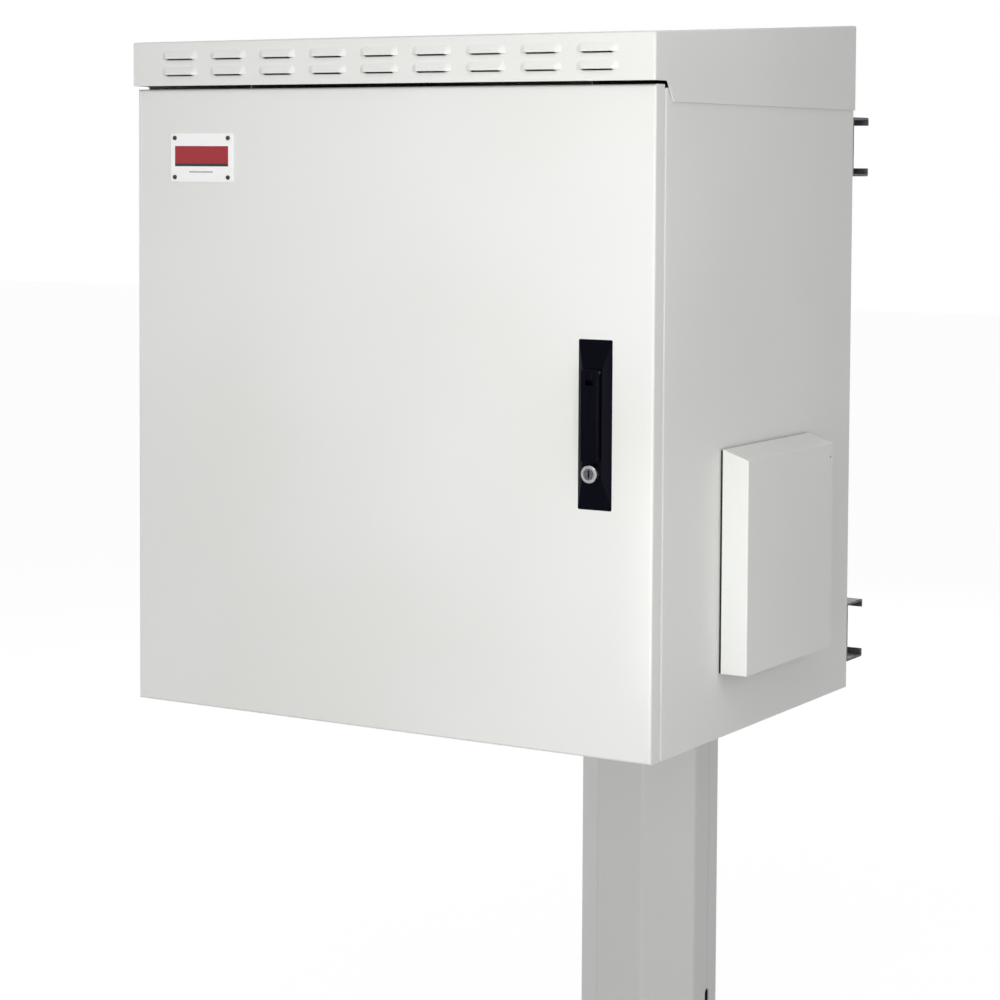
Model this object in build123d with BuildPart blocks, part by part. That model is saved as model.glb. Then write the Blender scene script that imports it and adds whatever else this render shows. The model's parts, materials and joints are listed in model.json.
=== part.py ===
from build123d import *
import os
from math import atan, cos, pi, radians, sin, sqrt, tan

# An outdoor equipment cabinet on an octagonal post, in millimetres.
# The origin is the middle of the post's foot, +Z is up and the door faces -Y.

# Post
post_flats = 148.0
post_corner_cut = 45.0
post_wall = 3.0
post_fold = 6.0
post_height = 1120.0
post_below = 480.0
seam_y = 5.0
seam_gap = 0.6
tongue_length = 16.0
foot_slot_width = 10.0
foot_slot_length = 50.0
foot_slot_top = 81.0
cap_thickness = 3.0
cap_skirt = 20.0
cap_wall = 2.0
cap_clearance = 0.3

# Rear rails and the clamps that hold them to the post
rail_depth = 41.0
rail_height = 62.5
rail_wall = 2.5
rail_lip = 8.5
rail_low_z = 27.0
rail_top_drop = 20.0
rail_slot_pitch = 80.0
rail_slot_length = 26.0
rail_slot_width = 9.0
rail_slot_count = 7
saddle_thickness = 9.0
clamp_height = 40.0
clamp_thickness = 5.0
clamp_clearance = 0.3
clamp_ear = 50.0
clamp_bolt_radius = 5.0
clamp_nut_size = 30.0
clamp_nut_thickness = 8.0
rail_bolt_radius = 4.0
rail_bolt_column = 3

# Cabinet body
cabinet_width = 600.0
cabinet_depth = 450.0
body_height = 628.0
sheet = 1.5
body_fold = 3.0
rim_width = 38.0
lip_setback = 10.0
lip_corner = 4.0
vent_count = 8
vent_length = 45.0
vent_width = 6.0
vent_setback = 90.0

# Door
door_top_rise = 3.0
door_return = 17.5
door_gap = 2.0
door_fold = 2.5
gasket_width = 12.0
gasket_clearance = 0.3
stiffener_width = 34.0
stiffener_depth = 12.0
stiffener_sheet = 1.5
stiffener_margin = 50.0
stiffener_inset = 150.0

# Roof cover
roof_overhang = 5.8
roof_side_gap = 0.7
roof_rear_gap = 0.3
roof_fold = 2.5
roof_front_rise = 50.8
roof_rear_rise = 76.4
roof_door_gap = 3.3
roof_side_lap = 12.7
roof_notch_run = 12.5
louvre_columns = 9
louvre_pitch = 60.4
louvre_row_pitch = 16.2
louvre_above_skirt = 10.7
louvre_width = 44.0
louvre_height = 8.5
louvre_rise = 3.0
louvre_corner = 5.0
louvre_lip_width = 32.0
louvre_lip_height = 2.4
louvre_wall = 1.0
bracket_x = 200.0
bracket_front = 60.0
bracket_rear = 400.0
bracket_flange = 25.0
bracket_sheet = 2.0
weld_gap = 0.1
roof_screw_radius = 3.0

# Badge plate
badge_side_inset = 82.0
badge_drop = 69.5
badge_width = 78.0
badge_height = 49.0
badge_thickness = 1.0
badge_corner = 2.0
badge_rivet_margin_x = 5.5
badge_rivet_margin_z = 4.6
badge_rivet_radius = 2.2
badge_rivet_height = 1.0

# Hinges
hinge_inset = 5.5
hinge_setback = 7.0
hinge_end_inset = 110.0
hinge_arm_height = 22.0
hinge_knuckle_height = 14.0
hinge_knuckle_radius = 3.8
hinge_pin_radius = 2.0
hinge_end_gap = 0.3
hinge_sweep_gap = 0.75
hinge_arm_thickness = 3.0
hinge_foot = 17.5
hinge_screw_radius = 2.0
running_clearance = 0.05
press_clearance = 0.02

# Swing handle
handle_inset = 61.0
handle_below_middle = 1.3
handle_width = 36.0
handle_height = 160.0
handle_rise = 6.0
handle_top_width = 20.4
handle_top_height = 100.0
handle_top_shift = 1.3
handle_corner = 1.5
hub_rise = 43.8
hub_radius = 8.0
hub_thickness = 3.0
shaft_radius = 4.5
lift_pin_above_hub = 6.0
lift_pin_radius = 1.5
lever_gap = 0.3
lever_thickness = 6.2
lever_width = 19.0
lever_drop = 33.2
lever_edge = 1.4
lug_width = 8.0
lug_side_gap = 0.3
lug_drop = 7.0
lever_slot_drop = 12.0
stud_radius = 2.0
stud_spacing = 40.0
stud_length = 36.5

# Key cylinder
key_drop = 45.2
key_radius = 8.3
key_proud = 12.4
key_plug_radius = 5.4
key_plug_recess = 0.3
key_slot_width = 1.6
key_slot_height = 7.0
key_slot_depth = 6.0
key_cylinder_inner = 11.0
key_cam_width = 9.0
key_cam_length = 13.0
key_cam_thickness = 2.0

# Rack and pinion lock behind the door
gear_module = 1.25
gear_teeth = 12
gear_backlash = 0.2
gear_pressure_angle = 20.0
gear_width = 7.0
gear_setback = 21.0
rack_addendum_share = 0.7
rack_dedendum_share = 1.25
rod_back = 4.0
rod_short_of_rim = 2.0
rod_overrun = 8.0
rod_tip = 1.5
lock_box_wall = 1.2
lock_box_rear = 2.0
lock_box_height = 56.0
lock_box_clearance = 0.5
journal_radius = 5.0
guide_height = 12.0
guide_wall = 1.5
guide_clearance = 0.3
guide_end_inset = 120.0

# Rack uprights and the rails that carry them
rack_hole_spacing = 465.1
rack_hole_size = 9.5
rack_floor_gap = 47.3
rack_roof_gap = 45.0
rack_unit = 44.45
rack_unit_holes = (6.35, 22.225, 38.1)
rack_flange_inner = 9.05
rack_flange_outer = 17.45
rack_web_depth = 30.0
rack_sheet = 2.0
rack_front_y = 80.0
rack_rear_y = 380.0
depth_rail_start = 60.0
depth_rail_end = 400.0
depth_rail_height = 25.0
depth_rail_inset = 7.7
rack_bolt_radius = 3.0
rack_bolt_inset = 16.0

# Side hood, filter and fan
hood_y = 141.0
hood_width = 200.0
hood_proud = 30.0
hood_bottom_z = 63.8
hood_outer_top_z = 273.0
hood_wall_top_z = 282.5
hood_stand_off = 2.5
hood_flange = 14.0
hood_gasket_inset = 1.0
hood_gasket_width = 8.0
hood_screw_radius = 2.0
hood_screw_inset = 40.0
hood_hole_radius = 1.6
hood_hole_setback = 7.0
hood_hole_drop = 13.5
fan_z = 166.0
fan_size = 119.0
fan_depth = 25.0
fan_bore_radius = 57.0
fan_hole_spacing = 105.0
fan_screw_radius = 2.0
fan_corner = 4.0
fan_motor_radius = 20.0
fan_motor_length = 4.0
fan_strut_width = 5.0
fan_strut_depth = 3.0
fan_blades = 7
fan_blade_radius = 55.5
fan_blade_thickness = 1.8
fan_blade_root_chord = 22.0
fan_blade_tip_chord = 27.0
fan_blade_root_angle = 42.0
fan_blade_tip_angle = 26.0
fan_hub_radius = 20.0
fan_hub_length = 17.0
fan_shaft_radius = 2.5
fan_guard_rings = (14.0, 26.0, 38.0, 50.0)
fan_guard_wire = 1.6
fan_guard_thickness = 1.6
filter_size = 140.0
filter_thickness = 9.0
filter_border = 8.0
filter_back = 1.5
filter_bar = 3.0
filter_mat_clearance = 0.5

# Cable entry and earthing
gland_plate_width = 270.0
gland_plate_depth = 110.0
gland_plate_thickness = 2.0
gland_opening_width = 240.0
gland_opening_depth = 80.0
gland_setback = 330.0
gland_count = 4
gland_pitch = 60.0
gland_thread_radius = 12.5
gland_hex = 15.0
gland_hex_height = 8.0
gland_thread_above = 10.0
gland_neck_radius = 11.6
gland_neck_length = 10.0
gland_bore_radius = 9.6
gland_seal_bore = 9.0
gland_seal_length = 6.0
gland_cap_hex = 14.5
gland_cap_length = 17.0
gland_nut_height = 5.0
thread_clearance = 0.1
gland_screw_radius = 2.0
earth_side_inset = 70.0
earth_setback = 400.0
earth_radius = 4.0
earth_length = 22.0
earth_neck_radius = 5.0
earth_neck_below = 0.5
earth_flange_radius = 8.0
earth_flange = 4.0

# Fastener proportions
hole_clearance = 0.3
head_share = 1.7
head_height_share = 1.2
nut_height_share = 1.6
screw_end = 3.0
bolt_end = 2.0

# Places worked out from the sizes above
post_half = post_flats / 2
rear_y = -(post_half + saddle_thickness + rail_depth)
rail_length = cabinet_width
rail_high_z = body_height - rail_top_drop - rail_height
door_height = body_height + door_top_rise
door_y = rear_y - cabinet_depth
body_y = door_y + door_return + door_gap
body_depth = rear_y - body_y
base_z = post_below
half_width = cabinet_width / 2
wall_x = half_width - sheet
door_inner_y = door_y + sheet
lip_y = door_y + lip_setback
opening_half = half_width - rim_width
opening_low_z = base_z + rim_width
opening_high_z = base_z + body_height - rim_width
opening_mid_z = (opening_low_z + opening_high_z) / 2
opening_height = opening_high_z - opening_low_z
handle_x = half_width - handle_inset
handle_z = door_height / 2 - handle_below_middle
hub_z = handle_z + hub_rise
key_z = handle_z - key_drop
lever_bottom_z = handle_z - lever_drop
badge_x = -half_width + badge_side_inset
badge_z = door_height - badge_drop
earth_x = -half_width + earth_side_inset
rack_units = int((body_height - rack_floor_gap - rack_roof_gap) / rack_unit)
rack_height = rack_units * rack_unit
depth_rail_low_z = rack_floor_gap + depth_rail_inset
depth_rail_high_z = rack_floor_gap + rack_height - depth_rail_inset - depth_rail_height
roof_front_top = body_height + roof_front_rise
roof_rear_top = body_height + roof_rear_rise
roof_front_skirt = door_height + roof_door_gap
roof_side_skirt = body_height - roof_side_lap
louvre_low_z = roof_front_skirt + louvre_above_skirt

os.makedirs("parts", exist_ok=True)


def facing_front(y):
    # local x to the right, local y up, normal towards the front
    return Plane.XZ.offset(-y)


def facing_right(x):
    # local x to the rear, local y up, normal to the right
    return Plane.YZ.offset(x)


def corner_points(half_x, half_y):
    return [(x, y) for x in (-half_x, half_x) for y in (-half_y, half_y)]


def add_cylinders(plane, places, radius, amount, mode=Mode.ADD):
    with BuildSketch(plane) as circles:
        with Locations(*places):
            Circle(radius)
    extrude(circles.sketch, amount=amount, mode=mode)


def add_hexagons(plane, places, apothem, amount):
    with BuildSketch(plane) as hexagons:
        with Locations(*places):
            RegularPolygon(apothem, 6, major_radius=False)
    extrude(hexagons.sketch, amount=amount)


def add_block(plane, centre, size, amount, mode=Mode.ADD):
    with BuildSketch(plane) as rectangle:
        with Locations(centre):
            Rectangle(*size)
    extrude(rectangle.sketch, amount=amount, mode=mode)


def add_screws(head_plane, places, radius, length):
    # the head stands on head_plane, the shank goes the other way
    add_cylinders(head_plane, places, radius, -length)
    add_hexagons(head_plane, places, head_share * radius, head_height_share * radius)


def post_outline(extra):
    # the post's octagon, moved outwards by extra
    half = post_half + extra
    flat = half - post_corner_cut - extra * (2 - sqrt(2))
    quarter = [(half, flat), (flat, half)]
    points = quarter + [(-x, y) for x, y in reversed(quarter)]
    points += [(-x, -y) for x, y in quarter] + [(x, -y) for x, y in reversed(quarter)]
    return points


# Post: two folded half shells that meet at a seam a little behind the middle
def post_tube(plane, length):
    with BuildPart() as tube:
        with BuildSketch(plane):
            with BuildLine():
                Polyline(*post_outline(0), close=True)
            make_face()
        extrude(amount=length)
        fillet(tube.edges().filter_by(Axis.Z), post_fold)
        with BuildSketch(plane):
            with BuildLine():
                Polyline(*post_outline(-post_wall), close=True)
            make_face()
        extrude(amount=length, mode=Mode.SUBTRACT)
    return tube.part


post_ring = post_tube(Plane.XY, post_height)
slot_mid_z = foot_slot_top - foot_slot_length / 2
front_edge_y = seam_y - seam_gap / 2
rear_edge_y = seam_y + seam_gap / 2
inner_x = post_half - post_wall

with BuildPart() as post_front_shell:
    add(post_ring)
    split(bisect_by=Plane.XZ.offset(-front_edge_y), keep=Keep.TOP)
    with BuildSketch(facing_right(-post_half)):
        with Locations((seam_y, slot_mid_z)):
            SlotOverall(foot_slot_length, foot_slot_width, rotation=90)
    extrude(amount=post_flats, mode=Mode.SUBTRACT)
post_front_shell.part.label = "post_front_shell"
export_step(post_front_shell.part, "parts/post_front_shell.step")

with BuildPart() as post_rear_shell:
    add(post_ring)
    split(bisect_by=Plane.XZ.offset(-rear_edge_y), keep=Keep.BOTTOM)
    for side in (-1, 1):
        tongue_centre = (side * (inner_x - post_wall / 2), seam_y)
        add_block(Plane.XY, tongue_centre, (post_wall, 2 * tongue_length), post_height - cap_skirt - 1)
    with BuildSketch(facing_right(-post_half)):
        with Locations((seam_y, slot_mid_z)):
            SlotOverall(foot_slot_length, foot_slot_width, rotation=90)
    extrude(amount=post_flats, mode=Mode.SUBTRACT)
post_rear_shell.part.label = "post_rear_shell"
export_step(post_rear_shell.part, "parts/post_rear_shell.step")

with BuildPart() as post_cap:
    with BuildSketch(Plane.XY.offset(post_height)):
        with BuildLine():
            Polyline(*post_outline(0), close=True)
        make_face()
    extrude(amount=cap_thickness)
    fillet(post_cap.edges().filter_by(Axis.Z), post_fold)
    with BuildSketch(Plane.XY.offset(post_height - cap_skirt)):
        with BuildLine():
            Polyline(*post_outline(-post_wall - cap_clearance), close=True)
        make_face()
        with BuildLine():
            Polyline(*post_outline(-post_wall - cap_clearance - cap_wall), close=True)
        make_face(mode=Mode.SUBTRACT)
    extrude(amount=cap_skirt)
post_cap.part.label = "post_cap"
export_step(post_cap.part, "parts/post_cap.step")


# Rear rails: lipped channels with their webs on the cabinet's rear wall
def rail_places(bottom_z):
    slots = range(rail_slot_count)
    middle = (rail_slot_count - 1) / 2
    return [((slot - middle) * rail_slot_pitch, bottom_z + rail_height / 2) for slot in slots]


for name, low_z in (("rail_lower", base_z + rail_low_z), ("rail_upper", base_z + rail_high_z)):
    rail_mid = (rear_y + rail_depth / 2, low_z + rail_height / 2)
    with BuildPart() as rail:
        with BuildSketch(facing_right(-rail_length / 2)) as rail_section:
            with Locations(rail_mid):
                Rectangle(rail_depth, rail_height)
            fillet(rail_section.vertices(), rail_wall)
            with Locations(rail_mid):
                Rectangle(rail_depth - 2 * rail_wall, rail_height - 2 * rail_wall, mode=Mode.SUBTRACT)
            with Locations((rear_y + rail_depth, low_z + rail_height / 2)):
                Rectangle(2 * rail_wall + 1, rail_height - 2 * rail_lip, mode=Mode.SUBTRACT)
        extrude(amount=rail_length)
        with BuildSketch(facing_front(rear_y)):
            with Locations(*rail_places(low_z)):
                SlotOverall(rail_slot_length, rail_slot_width)
        extrude(amount=-rail_wall, mode=Mode.SUBTRACT)
    rail.part.label = name
    export_step(rail.part, f"parts/{name}.step")

# The rails' bolts sit in the outermost slots, with their nuts inside the body
rail_bolt_x = rail_bolt_column * rail_slot_pitch
rail_rows = (base_z + rail_low_z + rail_height / 2, base_z + rail_high_z + rail_height / 2)
rail_bolt_places = [(x, z) for x in (-rail_bolt_x, rail_bolt_x) for z in rail_rows]
rail_bolt_mirror = [(-x, z) for x, z in rail_bolt_places]
rail_nut_height = nut_height_share * rail_bolt_radius
rear_inner_y = rear_y - sheet
facing_rear_web = Plane(origin=(0, rear_y + rail_wall, 0), x_dir=(-1, 0, 0), z_dir=(0, 1, 0))

with BuildPart() as rail_bolts:
    add_screws(facing_rear_web, rail_bolt_mirror, rail_bolt_radius, rail_wall + sheet + rail_nut_height + bolt_end)
rail_bolts.part.label = "rail_bolts"
export_step(rail_bolts.part, "parts/rail_bolts.step")

with BuildPart() as rail_nuts:
    add_hexagons(facing_front(rear_inner_y), rail_bolt_places, head_share * rail_bolt_radius, rail_nut_height)
    add_cylinders(facing_front(rear_inner_y), rail_bolt_places, rail_bolt_radius + thread_clearance,
                  rail_nut_height, Mode.SUBTRACT)
rail_nuts.part.label = "rail_nuts"
export_step(rail_nuts.part, "parts/rail_nuts.step")

# Clamps: a saddle plate across the rail's lips, and a strap bent round the rear of the post
clamp_inner = post_half + clamp_clearance
clamp_outer = clamp_inner + clamp_thickness
clamp_bolt_x = clamp_outer + clamp_ear / 2
clamp_places = [(x, z) for x in (-clamp_bolt_x, clamp_bolt_x) for z in rail_rows]
saddle_y = rear_y + rail_depth
ear_y = saddle_y + saddle_thickness

for name, mid_z in (("clamp_lower", rail_rows[0]), ("clamp_upper", rail_rows[1])):
    low_z = mid_z - clamp_height / 2
    with BuildPart() as clamp:
        with BuildSketch(Plane.XY.offset(low_z)):
            with BuildLine():
                Polyline(*post_outline(clamp_clearance + clamp_thickness), close=True)
            make_face()
            with BuildLine():
                Polyline(*post_outline(clamp_clearance), close=True)
            make_face(mode=Mode.SUBTRACT)
            with Locations((0, -post_half)):
                Rectangle(4 * post_flats, post_flats, mode=Mode.SUBTRACT)
            for side in (-1, 1):
                with Locations((side * (clamp_inner + clamp_thickness / 2), ear_y / 2)):
                    Rectangle(clamp_thickness, -ear_y)
                with Locations((side * clamp_bolt_x, ear_y + clamp_thickness / 2)):
                    Rectangle(clamp_ear, clamp_thickness)
        extrude(amount=clamp_height)
        bolt_places = [(x, mid_z) for x in (-clamp_bolt_x, clamp_bolt_x)]
        add_block(facing_front(saddle_y), (0, mid_z), (2 * (clamp_outer + clamp_ear), rail_height),
                  clamp_clearance - saddle_thickness)
        add_cylinders(facing_front(saddle_y), bolt_places, clamp_bolt_radius + hole_clearance,
                      -(saddle_thickness + clamp_thickness), Mode.SUBTRACT)
    clamp.part.label = name
    export_step(clamp.part, f"parts/{name}.step")

lip_inner_y = saddle_y - rail_wall
facing_rear_ear = Plane(origin=(0, ear_y + clamp_thickness, 0), x_dir=(-1, 0, 0), z_dir=(0, 1, 0))

with BuildPart() as clamp_bolts:
    add_screws(facing_rear_ear, [(-x, z) for x, z in clamp_places], clamp_bolt_radius,
               clamp_thickness + saddle_thickness + rail_wall + clamp_nut_thickness + bolt_end)
clamp_bolts.part.label = "clamp_bolts"
export_step(clamp_bolts.part, "parts/clamp_bolts.step")

with BuildPart() as channel_nuts:
    with BuildSketch(facing_front(lip_inner_y)):
        with Locations(*clamp_places):
            Rectangle(clamp_nut_size, rail_height - 2 * rail_wall - 1)
        with Locations(*clamp_places):
            Circle(clamp_bolt_radius + thread_clearance, mode=Mode.SUBTRACT)
    extrude(amount=clamp_nut_thickness)
channel_nuts.part.label = "channel_nuts"
export_step(channel_nuts.part, "parts/channel_nuts.step")


# Body: a folded box with a gutter and a raised lip round the door opening
def front_rounded_block(width, depth, height, front_y, bottom_z, fold):
    with BuildPart() as block:
        with BuildSketch(Plane.XY.offset(bottom_z)):
            with Locations((0, front_y + depth / 2)):
                Rectangle(width, depth)
        extrude(amount=height)
        fillet(block.faces().sort_by(Axis.Y)[0].edges(), fold)
    return block.part


body_block = front_rounded_block(cabinet_width, body_depth, body_height, body_y, base_z, body_fold)
body_void = front_rounded_block(
    cabinet_width - 2 * sheet,
    body_depth - 2 * sheet,
    body_height - 2 * sheet,
    body_y + sheet,
    base_z + sheet,
    body_fold - sheet,
)
hood_mid_y = door_y + hood_y + hood_width / 2
fan_place = (hood_mid_y, base_z + fan_z)
fan_holes = [(fan_place[0] + x, fan_place[1] + z) for x, z in corner_points(fan_hole_spacing / 2, fan_hole_spacing / 2)]
hood_screw_rows = (base_z + hood_bottom_z + hood_screw_inset, base_z + hood_outer_top_z - hood_screw_inset)
hood_flange_y = hood_width / 2 - sheet - hood_flange / 2
hood_screw_places = [(hood_mid_y + side * hood_flange_y, z) for side in (-1, 1) for z in hood_screw_rows]
gland_y = door_y + gland_setback
gland_middle = (gland_count - 1) / 2
gland_places = [((gland - gland_middle) * gland_pitch, gland_y) for gland in range(gland_count)]
gland_rim_x = (gland_plate_width + gland_opening_width) / 4
gland_rim_y = (gland_plate_depth + gland_opening_depth) / 4
gland_screw_places = [(x, gland_y + y) for x, y in corner_points(gland_rim_x, gland_rim_y)]
earth_place = (earth_x, door_y + earth_setback)
bracket_mid_y = door_y + (bracket_front + bracket_rear) / 2
bracket_half_run = (bracket_rear - bracket_front) / 2
roof_screw_x = bracket_x + bracket_flange / 2
roof_screw_places = [(x, bracket_mid_y + y) for x, y in corner_points(roof_screw_x, bracket_half_run - bracket_flange)]
hinge_x = -half_width + hinge_inset
hinge_y = door_y + hinge_setback
hinge_rows = (base_z + hinge_end_inset, base_z + door_height - hinge_end_inset)
return_reach = sqrt(hinge_inset ** 2 + (door_return - hinge_setback) ** 2)
hinge_crank_x = hinge_x + return_reach + hinge_sweep_gap
hinge_screw_x = hinge_crank_x + hinge_arm_thickness + (hinge_foot - hinge_arm_thickness) / 2
hinge_screw_places = [(hinge_screw_x, z + side * hinge_arm_height / 4) for z in hinge_rows for side in (-1, 1)]

with BuildPart() as body_shell:
    add(body_block)
    add(body_void, mode=Mode.SUBTRACT)
    with BuildSketch(facing_front(lip_y)):
        with Locations((0, opening_mid_z)):
            RectangleRounded(2 * opening_half, opening_height, lip_corner)
    extrude(amount=-(body_y + sheet - lip_y))
    with BuildSketch(facing_front(lip_y)):
        with Locations((0, opening_mid_z)):
            RectangleRounded(2 * (opening_half - sheet), opening_height - 2 * sheet, lip_corner - sheet)
    extrude(amount=-(body_y + sheet - lip_y), mode=Mode.SUBTRACT)
    add_cylinders(facing_front(rear_y - sheet), rail_bolt_places, rail_bolt_radius + hole_clearance,
                  -sheet, Mode.SUBTRACT)
    add_cylinders(facing_front(body_y), hinge_screw_places, hinge_screw_radius + thread_clearance,
                  -sheet, Mode.SUBTRACT)
    add_cylinders(facing_right(wall_x), [fan_place], fan_bore_radius, sheet, Mode.SUBTRACT)
    add_cylinders(facing_right(wall_x), fan_holes, fan_screw_radius + hole_clearance, sheet, Mode.SUBTRACT)
    add_cylinders(facing_right(wall_x), hood_screw_places, hood_screw_radius + hole_clearance,
                  sheet, Mode.SUBTRACT)
    add_block(Plane.XY.offset(base_z), (0, gland_y), (gland_opening_width, gland_opening_depth),
              sheet, Mode.SUBTRACT)
    add_cylinders(Plane.XY.offset(base_z), gland_screw_places, gland_screw_radius + hole_clearance,
                  sheet, Mode.SUBTRACT)
    add_cylinders(Plane.XY.offset(base_z), [earth_place], earth_neck_radius + hole_clearance, sheet, Mode.SUBTRACT)
    add_cylinders(Plane.XY.offset(base_z + body_height - sheet), roof_screw_places,
                  roof_screw_radius + hole_clearance, sheet, Mode.SUBTRACT)
    with BuildSketch(Plane.XY.offset(base_z + body_height - sheet)):
        with Locations((0, door_y + vent_setback)):
            with GridLocations(vent_length + vent_width, vent_width, vent_count, 1):
                SlotOverall(vent_length, vent_width)
    extrude(amount=sheet, mode=Mode.SUBTRACT)
body_shell.part.label = "body_shell"
export_step(body_shell.part, "parts/body_shell.step")


# Roof cover: a folded cap that slopes down to the front, with pressed louvres
def louvre_form(width, height, lip_width, lip_height, rise, behind, below):
    # lofted from the skirt outwards, in the skirt's own plane
    with BuildPart() as form:
        with BuildSketch(Plane.XY.offset(-behind)) as root:
            with Locations((0, height / 2 - below / 2)):
                Rectangle(width, height + below)
            fillet(root.vertices().group_by(Axis.Y)[-1], louvre_corner)
        with BuildSketch(Plane.XY.offset(rise)) as crest:
            with Locations((0, lip_height / 2 - below / 2)):
                Rectangle(lip_width, lip_height + below)
            fillet(crest.vertices().group_by(Axis.Y)[-1], lip_height / 2)
        loft()
    return form.part


roof_half = half_width + roof_side_gap + sheet
roof_front_y = door_y - roof_overhang
roof_rear_y = rear_y + roof_rear_gap + sheet
roof_run = roof_rear_y - roof_front_y
roof_slope = (roof_rear_top - roof_front_top) / roof_run
roof_sheet_drop = sheet * sqrt(1 + roof_slope ** 2)
louvre_mid_z = base_z + louvre_low_z + louvre_row_pitch / 2


def roof_outer_z(y):
    return base_z + roof_front_top + roof_slope * (y - roof_front_y)


def roof_block(half_x, front_y, rear_y_end, drop, low_z, fold):
    with BuildPart() as block:
        with BuildSketch(facing_right(-half_x)):
            with BuildLine():
                Polyline(
                    (front_y, low_z),
                    (front_y, roof_outer_z(front_y) - drop),
                    (rear_y_end, roof_outer_z(rear_y_end) - drop),
                    (rear_y_end, low_z),
                    close=True,
                )
            make_face()
        extrude(amount=2 * half_x)
        fillet(block.faces().sort_by(Axis.Z)[-1].edges() + block.edges().filter_by(Axis.Z), fold)
    return block.part


louvre_outer = louvre_form(louvre_width, louvre_height, louvre_lip_width, louvre_lip_height, louvre_rise, 0, 0)
louvre_inner = louvre_form(
    louvre_width - 2 * louvre_wall,
    louvre_height - louvre_wall,
    louvre_lip_width - 2 * louvre_wall,
    louvre_lip_height - louvre_wall / 2,
    louvre_rise - louvre_wall,
    sheet,
    louvre_wall / 4,
)

with BuildPart() as roof_cover:
    add(roof_block(roof_half, roof_front_y, roof_rear_y, 0, base_z + roof_side_skirt, roof_fold))
    add(
        roof_block(
            roof_half - sheet,
            roof_front_y + sheet,
            roof_rear_y - sheet,
            roof_sheet_drop,
            base_z + roof_side_skirt,
            roof_fold - sheet,
        ),
        mode=Mode.SUBTRACT,
    )
    # the skirts are cut back over the door
    notch_y = body_y
    with BuildSketch(facing_right(-roof_half)):
        with BuildLine():
            Polyline(
                (roof_front_y - 1, base_z + roof_side_skirt - 1),
                (roof_front_y - 1, base_z + roof_front_skirt),
                (notch_y, base_z + roof_front_skirt),
                (notch_y + roof_notch_run, base_z + roof_side_skirt),
                (notch_y + roof_notch_run, base_z + roof_side_skirt - 1),
                close=True,
            )
        make_face()
    extrude(amount=2 * roof_half, mode=Mode.SUBTRACT)
    louvre_plane = Plane(origin=(0, roof_front_y, louvre_mid_z), x_dir=(1, 0, 0), z_dir=(0, -1, 0))
    with Locations(louvre_plane):
        with GridLocations(louvre_pitch, louvre_row_pitch, louvre_columns, 2):
            add(louvre_outer)
    with Locations(louvre_plane):
        with GridLocations(louvre_pitch, louvre_row_pitch, louvre_columns, 2):
            add(louvre_inner, mode=Mode.SUBTRACT)
roof_cover.part.label = "roof_cover"
export_step(roof_cover.part, "parts/roof_cover.step")


def sloped_strip(front_y, end_y, drop, thickness):
    # a strip under the roof sheet, drawn in side view
    Polygon(
        (front_y, roof_outer_z(front_y) - drop),
        (front_y, roof_outer_z(front_y) - drop - thickness),
        (end_y, roof_outer_z(end_y) - drop - thickness),
        (end_y, roof_outer_z(end_y) - drop),
        align=None,
    )


body_top_z = base_z + body_height
bracket_drop = roof_sheet_drop + weld_gap
bracket_y = (door_y + bracket_front, door_y + bracket_rear)

with BuildPart() as roof_brackets:
    for side in (-1, 1):
        web_x = side * bracket_x - bracket_sheet / 2
        flange_x = side * bracket_x if side > 0 else side * bracket_x - bracket_flange
        with BuildSketch(facing_right(web_x)):
            with BuildLine():
                Polyline(
                    (bracket_y[0], body_top_z),
                    (bracket_y[0], roof_outer_z(bracket_y[0]) - bracket_drop),
                    (bracket_y[1], roof_outer_z(bracket_y[1]) - bracket_drop),
                    (bracket_y[1], body_top_z),
                    close=True,
                )
            make_face()
        extrude(amount=bracket_sheet)
        with BuildSketch(facing_right(flange_x)):
            sloped_strip(*bracket_y, bracket_drop, bracket_sheet)
            with Locations((bracket_mid_y, body_top_z + bracket_sheet / 2)):
                Rectangle(2 * bracket_half_run, bracket_sheet)
        extrude(amount=bracket_flange)
    add_cylinders(Plane.XY.offset(body_top_z), roof_screw_places, roof_screw_radius + thread_clearance,
                  bracket_sheet, Mode.SUBTRACT)
roof_brackets.part.label = "roof_brackets"
export_step(roof_brackets.part, "parts/roof_brackets.step")

# Door: a folded pan, its gasket, two stiffeners and the badge plate
handle_stud_places = [(handle_x, base_z + hub_z + side * stud_spacing / 2) for side in (-1, 1)]
key_place = (handle_x, base_z + key_z)
hub_place = (handle_x, base_z + hub_z)
badge_rivets = [
    (badge_x + x, base_z + badge_z + z)
    for x, z in corner_points(badge_width / 2 - badge_rivet_margin_x, badge_height / 2 - badge_rivet_margin_z)
]

with BuildPart() as door_panel:
    add(front_rounded_block(cabinet_width, door_return, door_height, door_y, base_z, door_fold))
    add(
        front_rounded_block(
            cabinet_width - 2 * sheet,
            door_return,
            door_height - 2 * sheet,
            door_inner_y,
            base_z + sheet,
            door_fold - sheet,
        ),
        mode=Mode.SUBTRACT,
    )
    add_cylinders(facing_front(door_y), [hub_place], shaft_radius + 1, -sheet, Mode.SUBTRACT)
    add_cylinders(facing_front(door_y), [key_place], key_radius + thread_clearance, -sheet, Mode.SUBTRACT)
    add_cylinders(facing_front(door_y), handle_stud_places, stud_radius + hole_clearance, -sheet, Mode.SUBTRACT)
door_panel.part.label = "door_panel"
export_step(door_panel.part, "parts/door_panel.step")

gasket_mid_half = opening_half - sheet / 2
gasket_mid_height = opening_height - sheet

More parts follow.
